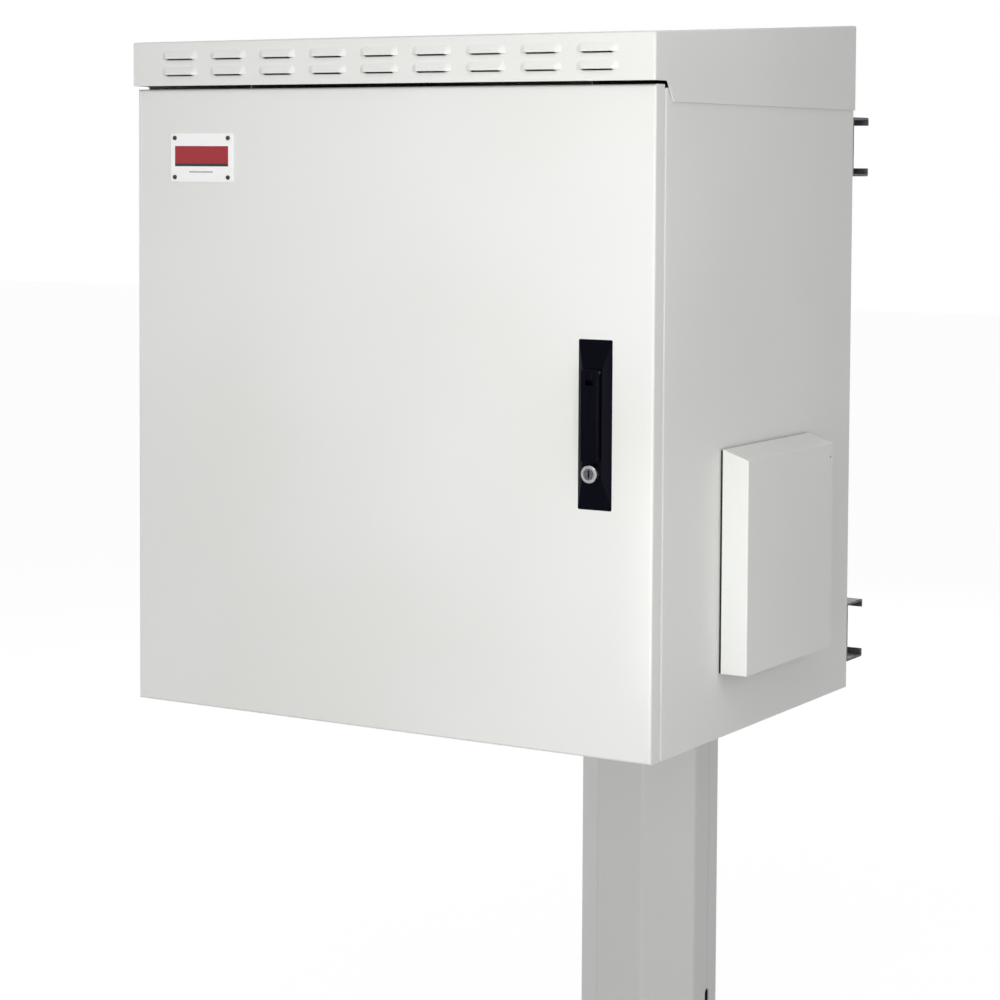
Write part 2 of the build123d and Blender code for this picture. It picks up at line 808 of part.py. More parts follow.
with BuildPart() as door_gasket:
    with BuildSketch(facing_front(door_inner_y)):
        with Locations((0, opening_mid_z)):
            RectangleRounded(2 * gasket_mid_half + gasket_width, gasket_mid_height + gasket_width, gasket_width)
            RectangleRounded(
                2 * gasket_mid_half - gasket_width,
                gasket_mid_height - gasket_width,
                gasket_width / 4,
                mode=Mode.SUBTRACT,
            )
    extrude(amount=-(lip_y - door_inner_y - gasket_clearance))
door_gasket.part.label = "door_gasket"
export_step(door_gasket.part, "parts/door_gasket.step")

stiffener_left = -opening_half + stiffener_margin / 4
stiffener_right = handle_x - stiffener_margin / 2
stiffener_crown = stiffener_width / 2

with BuildPart() as door_stiffeners:
    for low_z in (base_z + stiffener_inset, base_z + door_height - stiffener_inset):
        with BuildSketch(facing_right(stiffener_left)):
            with Locations((door_inner_y + stiffener_sheet / 2, low_z)):
                Rectangle(stiffener_sheet, stiffener_width + stiffener_crown)
            with Locations((door_inner_y + stiffener_depth / 2, low_z)):
                Rectangle(stiffener_depth, stiffener_crown)
            with Locations((door_inner_y + stiffener_depth / 2 - stiffener_sheet, low_z)):
                Rectangle(stiffener_depth, stiffener_crown - 2 * stiffener_sheet, mode=Mode.SUBTRACT)
        extrude(amount=stiffener_right - stiffener_left)
door_stiffeners.part.label = "door_stiffeners"
export_step(door_stiffeners.part, "parts/door_stiffeners.step")

with BuildPart() as badge_plate:
    with BuildSketch(facing_front(door_y)):
        with Locations((badge_x, base_z + badge_z)):
            RectangleRounded(badge_width, badge_height, badge_corner)
    extrude(amount=badge_thickness)
badge_plate.part.label = "badge_plate"
export_step(badge_plate.part, "parts/badge_plate.step")

with BuildPart() as badge_rivet_heads:
    add_cylinders(facing_front(door_y - badge_thickness), badge_rivets, badge_rivet_radius, badge_rivet_height)
badge_rivet_heads.part.label = "badge_rivets"
export_step(badge_rivet_heads.part, "parts/badge_rivets.step")

# Hinges: cranked arms in the gutter, knuckles in the door's folded edge
arm_low_y = hinge_y - hinge_arm_thickness + hinge_end_gap
arm_mid_y = arm_low_y + hinge_arm_thickness / 2
crank_mid_x = hinge_crank_x + hinge_arm_thickness / 2

with BuildPart() as hinge_arms:
    for mid_z in hinge_rows:
        with BuildSketch(Plane.XY.offset(mid_z - hinge_arm_height / 2)):
            with Locations((hinge_x, hinge_y)):
                Circle(hinge_knuckle_radius)
            with Locations(((hinge_x + crank_mid_x) / 2, arm_mid_y)):
                Rectangle(crank_mid_x - hinge_x, hinge_arm_thickness)
            with Locations((crank_mid_x, (arm_low_y + body_y) / 2)):
                Rectangle(hinge_arm_thickness, body_y - arm_low_y)
            with Locations((hinge_crank_x + hinge_foot / 2, body_y - hinge_arm_thickness / 2)):
                Rectangle(hinge_foot, hinge_arm_thickness)
            with Locations((hinge_x, hinge_y)):
                Circle(hinge_pin_radius + running_clearance, mode=Mode.SUBTRACT)
        extrude(amount=hinge_arm_height)
    add_cylinders(facing_front(body_y - hinge_arm_thickness), hinge_screw_places,
                  hinge_screw_radius + hole_clearance, -hinge_arm_thickness, Mode.SUBTRACT)
hinge_arms.part.label = "hinge_arms"
export_step(hinge_arms.part, "parts/hinge_arms.step")

knuckle_left = -half_width + sheet
knuckle_front = door_inner_y

with BuildPart() as hinge_knuckles:
    for mid_z in hinge_rows:
        for side in (-1, 1):
            start_z = mid_z + side * (hinge_arm_height / 2 + hinge_end_gap)
            with BuildSketch(Plane.XY.offset(start_z)):
                with Locations((hinge_x, hinge_y)):
                    Circle(hinge_knuckle_radius)
                with Locations(((knuckle_left + hinge_x + hinge_knuckle_radius) / 2, (knuckle_front + hinge_y) / 2)):
                    Rectangle(hinge_x + hinge_knuckle_radius - knuckle_left, hinge_y - knuckle_front)
                with Locations(((knuckle_left + hinge_x) / 2, (knuckle_front + hinge_y + hinge_knuckle_radius) / 2)):
                    Rectangle(hinge_x - knuckle_left, hinge_y + hinge_knuckle_radius - knuckle_front)
                with Locations((knuckle_left, knuckle_front)):
                    Rectangle(2 * (door_fold - sheet), 2 * (door_fold - sheet), mode=Mode.SUBTRACT)
                with Locations((hinge_x, hinge_y)):
                    Circle(hinge_pin_radius + press_clearance, mode=Mode.SUBTRACT)
            extrude(amount=side * hinge_knuckle_height)
hinge_knuckles.part.label = "hinge_knuckles"
export_step(hinge_knuckles.part, "parts/hinge_knuckles.step")

hinge_pin_length = hinge_arm_height + 2 * (hinge_end_gap + hinge_knuckle_height)

with BuildPart() as hinge_pins:
    for mid_z in hinge_rows:
        add_cylinders(Plane.XY.offset(mid_z - hinge_pin_length / 2), [(hinge_x, hinge_y)],
                      hinge_pin_radius, hinge_pin_length)
hinge_pins.part.label = "hinge_pins"
export_step(hinge_pins.part, "parts/hinge_pins.step")

with BuildPart() as hinge_screws:
    add_screws(facing_front(body_y - hinge_arm_thickness), hinge_screw_places, hinge_screw_radius,
               hinge_arm_thickness + sheet + screw_end)
hinge_screws.part.label = "hinge_screws"
export_step(hinge_screws.part, "parts/hinge_screws.step")

# Swing handle: sloped base, turning hub, cross pin and lever
handle_top_y = door_y - handle_rise
lever_back_y = handle_top_y - lever_gap
lever_front_y = lever_back_y - lever_thickness
lift_y = lever_back_y - lever_thickness / 2
lift_z = base_z + hub_z + lift_pin_above_hub
lever_end_radius = lever_thickness / 2

with BuildPart() as handle_base:
    with BuildSketch(facing_front(door_y)):
        with Locations((handle_x, base_z + handle_z)):
            RectangleRounded(handle_width, handle_height, handle_corner)
    with BuildSketch(facing_front(handle_top_y)):
        with Locations((handle_x, base_z + handle_z + handle_top_shift)):
            RectangleRounded(handle_top_width, handle_top_height, handle_corner / 2)
    loft()
    add_cylinders(facing_front(door_y), handle_stud_places, stud_radius, -stud_length)
    add_cylinders(facing_front(handle_top_y), [hub_place], hub_radius + running_clearance,
                  -hub_thickness, Mode.SUBTRACT)
    add_cylinders(facing_front(handle_top_y), [hub_place], shaft_radius + running_clearance,
                  -handle_rise, Mode.SUBTRACT)
    add_cylinders(facing_front(handle_top_y), [key_place], key_radius + thread_clearance,
                  -handle_rise, Mode.SUBTRACT)
handle_base.part.label = "handle_base"
export_step(handle_base.part, "parts/handle_base.step")

hub_floor_y = handle_top_y + hub_thickness - running_clearance
gear_front_y = door_inner_y + gear_setback
gear_rear_y = gear_front_y + gear_width
box_rear_y = gear_rear_y + lock_box_clearance + lock_box_rear
square_side = shaft_radius * sqrt(2) * 0.98

with BuildPart() as handle_hub:
    add_cylinders(facing_front(hub_floor_y), [hub_place], hub_radius, hub_floor_y - handle_top_y)
    add_cylinders(facing_front(hub_floor_y), [hub_place], shaft_radius, -(gear_front_y - hub_floor_y))
    add_block(facing_front(gear_front_y), hub_place, (square_side, square_side), -gear_width)
    with BuildSketch(facing_right(handle_x - lug_width / 2)):
        with Locations((lift_y, lift_z)):
            Circle(lever_end_radius)
        with Locations(((handle_top_y + lever_front_y) / 2, lift_z - lug_drop / 2)):
            Rectangle(handle_top_y - lever_front_y, lug_drop)
        with Locations((lift_y, lift_z)):
            Circle(lift_pin_radius + press_clearance, mode=Mode.SUBTRACT)
    extrude(amount=lug_width)
handle_hub.part.label = "handle_hub"
export_step(handle_hub.part, "parts/handle_hub.step")

with BuildPart() as handle_pin:
    add_cylinders(facing_right(handle_x - lever_width / 2), [(lift_y, lift_z)], lift_pin_radius, lever_width)
handle_pin.part.label = "handle_pin"
export_step(handle_pin.part, "parts/handle_pin.step")

lever_length = lift_z - (base_z + lever_bottom_z)

with BuildPart() as handle_lever:
    with BuildSketch(facing_right(handle_x - lever_width / 2)):
        with Locations((lift_y, lift_z)):
            Circle(lever_end_radius)
        with Locations((lift_y, lift_z - lever_length / 2)):
            Rectangle(lever_thickness, lever_length)
    extrude(amount=lever_width)
    lever_edges = handle_lever.edges().filter_by(Axis.Z).group_by(Axis.Y)[0]
    lever_end_edges = handle_lever.faces().sort_by(Axis.Z)[0].edges().filter_by(Axis.Y)
    fillet(lever_edges + lever_end_edges, lever_edge)
    add_block(facing_front(lever_back_y), (handle_x, lift_z - lever_slot_drop + (lever_slot_drop + lever_thickness) / 2),
              (lug_width + 2 * lug_side_gap, lever_slot_drop + lever_thickness), lever_thickness, Mode.SUBTRACT)
    add_cylinders(facing_right(handle_x - lever_width / 2), [(lift_y, lift_z)],
                  lift_pin_radius + running_clearance, lever_width, Mode.SUBTRACT)
handle_lever.part.label = "handle_lever"
export_step(handle_lever.part, "parts/handle_lever.step")

# Key cylinder, its plug and the cam behind the door
key_front_y = door_y - key_proud
key_rear_y = door_y + key_cylinder_inner
plug_front_y = key_front_y + key_plug_recess

with BuildPart() as key_cylinder:
    add_cylinders(facing_front(key_front_y), [key_place], key_radius, -(key_rear_y - key_front_y))
    chamfer(key_cylinder.faces().sort_by(Axis.Y)[0].edges(), key_plug_recess * 2)
    add_cylinders(facing_front(key_front_y), [key_place], key_plug_radius + running_clearance,
                  -(key_rear_y - key_front_y), Mode.SUBTRACT)
key_cylinder.part.label = "key_cylinder"
export_step(key_cylinder.part, "parts/key_cylinder.step")

with BuildPart() as key_plug:
    add_cylinders(facing_front(plug_front_y), [key_place], key_plug_radius,
                  -(key_rear_y + hinge_end_gap - plug_front_y))
    add_block(facing_front(plug_front_y), key_place, (key_slot_width, key_slot_height),
              -key_slot_depth, Mode.SUBTRACT)
key_plug.part.label = "key_plug"
export_step(key_plug.part, "parts/key_plug.step")

with BuildPart() as key_cam:
    with BuildSketch(facing_front(key_rear_y + hinge_end_gap)):
        with Locations(key_place):
            Circle(key_cam_width / 2)
        with Locations((handle_x + key_cam_length / 2, base_z + key_z)):
            Rectangle(key_cam_length, key_cam_width)
    extrude(amount=-key_cam_thickness)
    fillet(key_cam.edges().filter_by(Axis.Y).sort_by(Axis.X)[-2:], key_cam_thickness)
key_cam.part.label = "key_cam"
export_step(key_cam.part, "parts/key_cam.step")

# Lock: a pinion on the handle's shaft drives two racks, one up and one down
pitch_radius = gear_module * gear_teeth / 2
gear_base_radius = pitch_radius * cos(radians(gear_pressure_angle))
gear_tip_radius = pitch_radius + gear_module
gear_root_radius = pitch_radius - rack_dedendum_share * gear_module
circular_pitch = pi * gear_module
tooth_thickness = circular_pitch / 2 - gear_backlash / 2
rod_travel = pitch_radius * pi / 2


def involute(radius):
    stretch = sqrt(max(radius ** 2 - gear_base_radius ** 2, 0)) / gear_base_radius
    return stretch - atan(stretch)


def tooth_half_angle(radius):
    reach = max(radius, gear_base_radius)
    return tooth_thickness / (2 * pitch_radius) + involute(pitch_radius) - involute(reach)


def gear_points():
    flank = [gear_root_radius, gear_base_radius, pitch_radius, (pitch_radius + gear_tip_radius) / 2, gear_tip_radius]
    points = []
    for tooth in range(gear_teeth):
        middle = 2 * pi * tooth / gear_teeth
        rising = [(radius, middle - tooth_half_angle(radius)) for radius in flank]
        falling = [(radius, middle + tooth_half_angle(radius)) for radius in reversed(flank)]
        points += [(radius * cos(angle), radius * sin(angle)) for radius, angle in rising + falling]
    return [(handle_x + x, base_z + hub_z + z) for x, z in points]


with BuildPart() as lock_pinion:
    with BuildSketch(facing_front(gear_front_y)):
        with BuildLine():
            Polyline(*gear_points(), close=True)
        make_face()
    extrude(amount=-gear_width)
    add_cylinders(facing_front(gear_rear_y), [hub_place], journal_radius, -(box_rear_y - gear_rear_y))
    add_block(facing_front(gear_front_y), hub_place,
              (square_side + 2 * press_clearance, square_side + 2 * press_clearance), -gear_width, Mode.SUBTRACT)
lock_pinion.part.label = "lock_pinion"
export_step(lock_pinion.part, "parts/lock_pinion.step")


def rack_tooth(side, middle_z):
    # one rack tooth, pointing at the pinion
    root = pitch_radius + rack_dedendum_share * gear_module
    tip = pitch_radius - rack_addendum_share * gear_module
    slope = tan(radians(gear_pressure_angle))
    half_root = tooth_thickness / 2 + rack_dedendum_share * gear_module * slope
    half_tip = tooth_thickness / 2 - rack_addendum_share * gear_module * slope
    Polygon(
        (handle_x + side * root, middle_z - half_root),
        (handle_x + side * tip, middle_z - half_tip),
        (handle_x + side * tip, middle_z + half_tip),
        (handle_x + side * root, middle_z + half_root),
        align=None,
    )


rod_root = pitch_radius + rack_dedendum_share * gear_module
rod_mid = rod_root + rod_back / 2
rod_ends = {
    "lock_rod_upper": (1, base_z + hub_z - rod_overrun, opening_high_z - sheet - rod_short_of_rim),
    "lock_rod_lower": (-1, base_z + hub_z + rod_overrun, opening_low_z + sheet + rod_short_of_rim),
}
teeth_each_side = 2
teeth_for_travel = round(rod_travel / circular_pitch)

for name, (side, near_z, far_z) in rod_ends.items():
    with BuildPart() as lock_rod:
        with BuildSketch(facing_front(gear_front_y)):
            with Locations((handle_x + side * rod_mid, (near_z + far_z) / 2)):
                Rectangle(rod_back, abs(far_z - near_z))
            for tooth in range(-teeth_each_side, teeth_each_side + teeth_for_travel):
                rack_tooth(side, base_z + hub_z + side * (tooth + 0.5) * circular_pitch)
        extrude(amount=-gear_width)
        tip_face = lock_rod.faces().sort_by(Axis.Z)[-1 if side > 0 else 0]
        chamfer(tip_face.edges().filter_by(Axis.X), rod_tip)
    lock_rod.part.label = name
    export_step(lock_rod.part, f"parts/{name}.step")

box_inner_half = rod_root + rod_back + lock_box_clearance
box_outer_half = box_inner_half + lock_box_wall

with BuildPart() as lock_box:
    add_block(facing_front(door_inner_y), hub_place, (2 * box_outer_half, lock_box_height),
              -(box_rear_y - door_inner_y))
    add_block(facing_front(door_inner_y), hub_place, (2 * box_inner_half, lock_box_height),
              -(gear_rear_y + lock_box_clearance - door_inner_y), Mode.SUBTRACT)
    add_cylinders(facing_front(door_inner_y), [hub_place], journal_radius + running_clearance,
                  -(box_rear_y - door_inner_y), Mode.SUBTRACT)
    add_cylinders(facing_front(door_inner_y), handle_stud_places, stud_radius + thread_clearance,
                  -(box_rear_y - door_inner_y), Mode.SUBTRACT)
lock_box.part.label = "lock_box"
export_step(lock_box.part, "parts/lock_box.step")

with BuildPart() as handle_nuts:
    add_hexagons(facing_front(box_rear_y), handle_stud_places, head_share * stud_radius, -head_share * stud_radius)
    add_cylinders(facing_front(box_rear_y), handle_stud_places, stud_radius + thread_clearance,
                  -head_share * stud_radius, Mode.SUBTRACT)
handle_nuts.part.label = "handle_nuts"
export_step(handle_nuts.part, "parts/handle_nuts.step")

guide_half = rod_back / 2 + guide_clearance + guide_wall

with BuildPart() as rod_guides:
    for side, mid_z in ((1, base_z + door_height - guide_end_inset), (-1, base_z + guide_end_inset)):
        guide_x = handle_x + side * rod_mid
        guide_depth = gear_rear_y + guide_clearance + guide_wall - door_inner_y
        add_block(facing_front(door_inner_y), (guide_x, mid_z), (2 * guide_half, guide_height), -guide_depth)
        add_block(facing_front(gear_front_y - guide_clearance), (guide_x, mid_z),
                  (rod_back + 2 * guide_clearance, guide_height), -(gear_width + 2 * guide_clearance), Mode.SUBTRACT)
rod_guides.part.label = "rod_guides"
export_step(rod_guides.part, "parts/rod_guides.step")

# Rack uprights: angles with a square hole pattern, on rails along the side walls
rack_half = rack_hole_spacing / 2
web_outer_x = rack_half + rack_flange_outer
rack_low_z = base_z + rack_floor_gap
rack_hole_rows = [rack_low_z + unit * rack_unit + step for unit in range(rack_units) for step in rack_unit_holes]


rack_bolt_rows = (
    base_z + depth_rail_low_z + depth_rail_height / 2,
    base_z + depth_rail_high_z + depth_rail_height / 2,
)


def rack_upright(name, side, face_y, towards):
    # towards is +1 where the web runs rearwards from the flange
    flange_width = rack_flange_inner + rack_flange_outer
    flange_mid = side * (rack_half + (rack_flange_outer - rack_flange_inner) / 2)
    with BuildPart() as upright:
        with BuildSketch(Plane.XY.offset(rack_low_z)):
            with Locations((flange_mid, face_y + towards * rack_sheet / 2)):
                Rectangle(flange_width, rack_sheet)
            with Locations((side * (web_outer_x - rack_sheet / 2), face_y + towards * rack_web_depth / 2)):
                Rectangle(rack_sheet, rack_web_depth)
        extrude(amount=rack_height)
        with BuildSketch(facing_front(face_y - rack_sheet)):
            with Locations(*[(side * rack_half, z) for z in rack_hole_rows]):
                Rectangle(rack_hole_size, rack_hole_size)
        extrude(amount=-2 * rack_sheet, mode=Mode.SUBTRACT)
        bolt_places = [(face_y + towards * rack_bolt_inset, z) for z in rack_bolt_rows]
        web_side = side * (web_outer_x - rack_sheet / 2) - rack_sheet / 2
        add_cylinders(facing_right(web_side), bolt_places, rack_bolt_radius + hole_clearance,
                      rack_sheet, Mode.SUBTRACT)
    upright.part.label = name
    export_step(upright.part, f"parts/{name}.step")


rack_upright("rack_front_left", -1, door_y + rack_front_y, 1)
rack_upright("rack_front_right", 1, door_y + rack_front_y, 1)
rack_upright("rack_rear_left", -1, door_y + rack_rear_y, -1)
rack_upright("rack_rear_right", 1, door_y + rack_rear_y, -1)

depth_rail_width = wall_x - web_outer_x
rack_bolt_ys = (door_y + rack_front_y + rack_bolt_inset, door_y + rack_rear_y - rack_bolt_inset)


def depth_rail(name, side, low_z, web_at_top):
    # a channel between the side wall and the uprights
    mid_x = side * (web_outer_x + depth_rail_width / 2)
    section_z = low_z + depth_rail_height / 2
    hollow_z = section_z - rack_sheet if web_at_top else section_z + rack_sheet
    start_y = door_y + depth_rail_start
    with BuildPart() as rail_part:
        add_block(facing_front(start_y), (mid_x, section_z), (depth_rail_width, depth_rail_height),
                  -(depth_rail_end - depth_rail_start))
        add_block(facing_front(start_y), (mid_x, hollow_z), (depth_rail_width - 2 * rack_sheet, depth_rail_height),
                  -(depth_rail_end - depth_rail_start), Mode.SUBTRACT)
        inner_x_now = min(side * web_outer_x, side * (web_outer_x + rack_sheet))
        add_cylinders(facing_right(inner_x_now), [(y, section_z) for y in rack_bolt_ys],
                      rack_bolt_radius + thread_clearance, rack_sheet, Mode.SUBTRACT)
    rail_part.part.label = name
    export_step(rail_part.part, f"parts/{name}.step")


depth_rail("depth_rail_lower_left", -1, base_z + depth_rail_low_z, False)
depth_rail("depth_rail_lower_right", 1, base_z + depth_rail_low_z, False)
depth_rail("depth_rail_upper_left", -1, base_z + depth_rail_high_z, True)
depth_rail("depth_rail_upper_right", 1, base_z + depth_rail_high_z, True)

with BuildPart() as rack_bolts:
    for side in (-1, 1):
        head_plane = Plane(origin=(side * (web_outer_x - rack_sheet), 0, 0), x_dir=(0, -side, 0), z_dir=(-side, 0, 0))
        bolt_places = [(-side * y, z) for y in rack_bolt_ys for z in rack_bolt_rows]
        add_screws(head_plane, bolt_places, rack_bolt_radius, 2 * rack_sheet + screw_end)
rack_bolts.part.label = "rack_bolts"
export_step(rack_bolts.part, "parts/rack_bolts.step")

# Hood on the right wall: a folded cover that is open underneath
hood_inner_x = half_width + hood_stand_off
hood_outer_x = half_width + hood_proud
hood_start_y = door_y + hood_y


def hood_side(inner_x, outer_x, drop, low_z):
    # front view of the hood, with its sloped top
    return Polygon(
        (inner_x, low_z),
        (outer_x, low_z),
        (outer_x, base_z + hood_outer_top_z - drop),
        (inner_x, base_z + hood_wall_top_z - drop),
        align=None,
    )


with BuildPart() as hood_cover:
    with BuildSketch(facing_front(hood_start_y)):
        hood_side(hood_inner_x, hood_outer_x, 0, base_z + hood_bottom_z)
    extrude(amount=-hood_width)
    fillet(hood_cover.faces().sort_by(Axis.X)[-1].edges().filter_by(Axis.Z), sheet)
    with BuildSketch(facing_front(hood_start_y + sheet)):
        hood_side(hood_inner_x, hood_outer_x - sheet, sheet, base_z + hood_bottom_z)
    extrude(amount=-(hood_width - 2 * sheet), mode=Mode.SUBTRACT)
    for flange_mid_y in (-hood_flange_y, hood_flange_y):
        flange_top_z = base_z + hood_wall_top_z - 2 * sheet
        flange_low_z = base_z + hood_bottom_z
        add_block(facing_right(hood_inner_x), (hood_mid_y + flange_mid_y, (flange_top_z + flange_low_z) / 2),
                  (hood_flange, flange_top_z - flange_low_z), sheet)
    add_cylinders(facing_right(hood_inner_x), hood_screw_places, hood_screw_radius + thread_clearance,
                  sheet, Mode.SUBTRACT)
    hood_hole = (hood_start_y + hood_width - hood_hole_setback, base_z + hood_outer_top_z - hood_hole_drop)
    add_cylinders(facing_right(hood_outer_x), [hood_hole], hood_hole_radius, -sheet, Mode.SUBTRACT)
hood_cover.part.label = "hood_cover"
export_step(hood_cover.part, "parts/hood_cover.step")

with BuildPart() as hood_gasket:
    gasket_low_z = base_z + hood_bottom_z
    gasket_high_z = base_z + hood_wall_top_z - hood_gasket_inset
    gasket_outer = hood_width - 2 * hood_gasket_inset
    add_block(facing_right(half_width), (hood_mid_y, (gasket_low_z + gasket_high_z) / 2),
              (gasket_outer, gasket_high_z - gasket_low_z), hood_stand_off)
    add_block(facing_right(half_width), (hood_mid_y, (gasket_low_z + gasket_high_z) / 2 - hood_gasket_width),
              (gasket_outer - 2 * hood_gasket_width, gasket_high_z - gasket_low_z), hood_stand_off, Mode.SUBTRACT)
    add_cylinders(facing_right(half_width), hood_screw_places, hood_screw_radius + hole_clearance,
                  hood_stand_off, Mode.SUBTRACT)
hood_gasket.part.label = "hood_gasket"
export_step(hood_gasket.part, "parts/hood_gasket.step")

# Filter under the hood, and the fan behind the wall
filter_inner = filter_size - 2 * filter_border

with BuildPart() as filter_frame:
    add_block(facing_right(half_width), fan_place, (filter_size, filter_size), filter_thickness)
    add_block(facing_right(half_width + filter_back), fan_place, (filter_inner, filter_inner),
              filter_thickness, Mode.SUBTRACT)
    add_cylinders(facing_right(half_width), [fan_place], fan_bore_radius, filter_back, Mode.SUBTRACT)
    add_block(facing_right(half_width), fan_place, (filter_inner, filter_bar), filter_back)
    add_block(facing_right(half_width), fan_place, (filter_bar, filter_inner), filter_back)
    add_cylinders(facing_right(half_width), fan_holes, fan_screw_radius + thread_clearance,
                  filter_back, Mode.SUBTRACT)
filter_frame.part.label = "filter_frame"
export_step(filter_frame.part, "parts/filter_frame.step")

filter_mat_size = filter_inner - 2 * filter_mat_clearance

with BuildPart() as filter_mat:
    add_block(facing_right(half_width + filter_back), fan_place, (filter_mat_size, filter_mat_size),
              filter_thickness - filter_back)
    add_cylinders(facing_right(half_width + filter_back), fan_holes, fan_screw_radius + 2 * hole_clearance,
                  filter_thickness - filter_back, Mode.SUBTRACT)
filter_mat.part.label = "filter_mat"
export_step(filter_mat.part, "parts/filter_mat.step")

fan_inner_x = wall_x - fan_depth
fan_axis = Plane(origin=(fan_inner_x, fan_place[0], fan_place[1]), x_dir=(0, 1, 0), z_dir=(1, 0, 0))
motor_end = fan_motor_length
hub_start = motor_end + 0.6
local_holes = corner_points(fan_hole_spacing / 2, fan_hole_spacing / 2)

with BuildPart() as fan_housing:
    with BuildSketch(fan_axis) as housing_section:
        RectangleRounded(fan_size, fan_size, fan_corner)
        Circle(fan_bore_radius, mode=Mode.SUBTRACT)
        with Locations(*local_holes):
            Circle(fan_screw_radius + hole_clearance, mode=Mode.SUBTRACT)
    extrude(amount=fan_depth)
    with BuildSketch(fan_axis):
        with PolarLocations(fan_bore_radius / 2, 4, start_angle=45):
            Rectangle(fan_bore_radius + 2, fan_strut_width)
    extrude(amount=fan_strut_depth)
    add_cylinders(fan_axis, [(0, 0)], fan_motor_radius, motor_end)
    add_cylinders(fan_axis, [(0, 0)], fan_shaft_radius + running_clearance, motor_end, Mode.SUBTRACT)
fan_housing.part.label = "fan_housing"
export_step(fan_housing.part, "parts/fan_housing.step")


def blade_plane(turn, radius):
    # stands across the blade at this radius, with local x along the blade's chord
    angle = 2 * pi * turn / fan_blades
    origin = fan_axis.from_local_coords((radius * cos(angle), radius * sin(angle), hub_start + fan_hub_length / 2))
    outwards = fan_axis.from_local_coords((cos(angle), sin(angle), 0)) - fan_axis.origin
    around = fan_axis.from_local_coords((-sin(angle), cos(angle), 0)) - fan_axis.origin
    return Plane(origin=origin, x_dir=around, z_dir=outwards)


with BuildPart() as fan_rotor:
    add_cylinders(fan_axis.offset(hub_start), [(0, 0)], fan_hub_radius, fan_hub_length)
    add_cylinders(fan_axis, [(0, 0)], fan_shaft_radius, hub_start)
    for turn in range(fan_blades):
        with BuildSketch(blade_plane(turn, fan_hub_radius - 2)):
            Rectangle(fan_blade_root_chord, fan_blade_thickness, rotation=fan_blade_root_angle)
        with BuildSketch(blade_plane(turn, fan_blade_radius)):
            Rectangle(fan_blade_tip_chord, fan_blade_thickness, rotation=fan_blade_tip_angle)
        loft()
fan_rotor.part.label = "fan_rotor"
export_step(fan_rotor.part, "parts/fan_rotor.step")

guard_axis = fan_axis.offset(-fan_guard_thickness)
guard_reach = fan_hole_spacing / sqrt(2)

with BuildPart() as fan_guard:
    with BuildSketch(guard_axis):
        for ring_radius in fan_guard_rings:
            Circle(ring_radius + fan_guard_wire / 2)
            Circle(ring_radius - fan_guard_wire / 2, mode=Mode.SUBTRACT)
        with PolarLocations(guard_reach, 4, start_angle=45):
            Circle(fan_screw_radius * 2)
        for quarter in range(4):
            with PolarLocations((guard_reach + fan_guard_rings[0]) / 2, 1, start_angle=45 + 90 * quarter):
                Rectangle(guard_reach - fan_guard_rings[0], fan_guard_wire)
        with Locations(*local_holes):
            Circle(fan_screw_radius + hole_clearance, mode=Mode.SUBTRACT)
    extrude(amount=fan_guard_thickness)
fan_guard.part.label = "fan_guard"
export_step(fan_guard.part, "parts/fan_guard.step")

guard_front = Plane(origin=guard_axis.origin, x_dir=(0, -1, 0), z_dir=(-1, 0, 0))

with BuildPart() as fan_screws:
    add_screws(guard_front, local_holes, fan_screw_radius,
               fan_guard_thickness + fan_depth + sheet + filter_back + screw_end)
fan_screws.part.label = "fan_screws"
export_step(fan_screws.part, "parts/fan_screws.step")

# Cable entry: a plate over the floor's cut-out with four glands
plate_low = Plane.XY.offset(base_z + sheet)
plate_top = Plane.XY.offset(base_z + sheet + gland_plate_thickness)

with BuildPart() as gland_plate:
    add_block(plate_low, (0, gland_y), (gland_plate_width, gland_plate_depth), gland_plate_thickness)
    add_cylinders(plate_low, gland_places, gland_thread_radius + thread_clearance,
                  gland_plate_thickness, Mode.SUBTRACT)
    add_cylinders(plate_low, gland_screw_places, gland_screw_radius + thread_clearance,
                  gland_plate_thickness, Mode.SUBTRACT)
gland_plate.part.label = "gland_plate"
export_step(gland_plate.part, "parts/gland_plate.step")

# Screws of the roof brackets, the hood and the gland plate
under_top = Plane(origin=(0, 0, body_top_z - sheet), x_dir=(1, 0, 0), z_dir=(0, 0, -1))
inside_wall = Plane(origin=(wall_x, 0, 0), x_dir=(0, -1, 0), z_dir=(-1, 0, 0))
under_floor = Plane(origin=(0, 0, base_z), x_dir=(1, 0, 0), z_dir=(0, 0, -1))

with BuildPart() as cover_screws:
    add_screws(under_top, [(x, -y) for x, y in roof_screw_places], roof_screw_radius, sheet + bracket_sheet + screw_end)
    add_screws(inside_wall, [(-y, z) for y, z in hood_screw_places], hood_screw_radius,
               2 * sheet + hood_stand_off + screw_end)
    add_screws(under_floor, [(x, -y) for x, y in gland_screw_places], gland_screw_radius,
               sheet + gland_plate_thickness + screw_end)
cover_screws.part.label = "cover_screws"
export_step(cover_screws.part, "parts/cover_screws.step")

gland_hex_low = plate_low.offset(-gland_hex_height)
gland_neck_low = gland_hex_low.offset(-gland_neck_length)

with BuildPart() as gland_bodies:
    add_hexagons(gland_hex_low, gland_places, gland_hex, gland_hex_height)
    add_cylinders(plate_low, gland_places, gland_thread_radius, gland_plate_thickness + gland_thread_above)
    add_cylinders(gland_neck_low, gland_places, gland_neck_radius, gland_neck_length)
    add_cylinders(gland_neck_low, gland_places, gland_bore_radius,
                  gland_neck_length + gland_hex_height + gland_plate_thickness + gland_thread_above, Mode.SUBTRACT)
gland_bodies.part.label = "gland_bodies"
export_step(gland_bodies.part, "parts/gland_bodies.step")

gland_cap_low = gland_hex_low.offset(-gland_cap_length)
gland_seal_low = gland_neck_low.offset(-gland_seal_length)

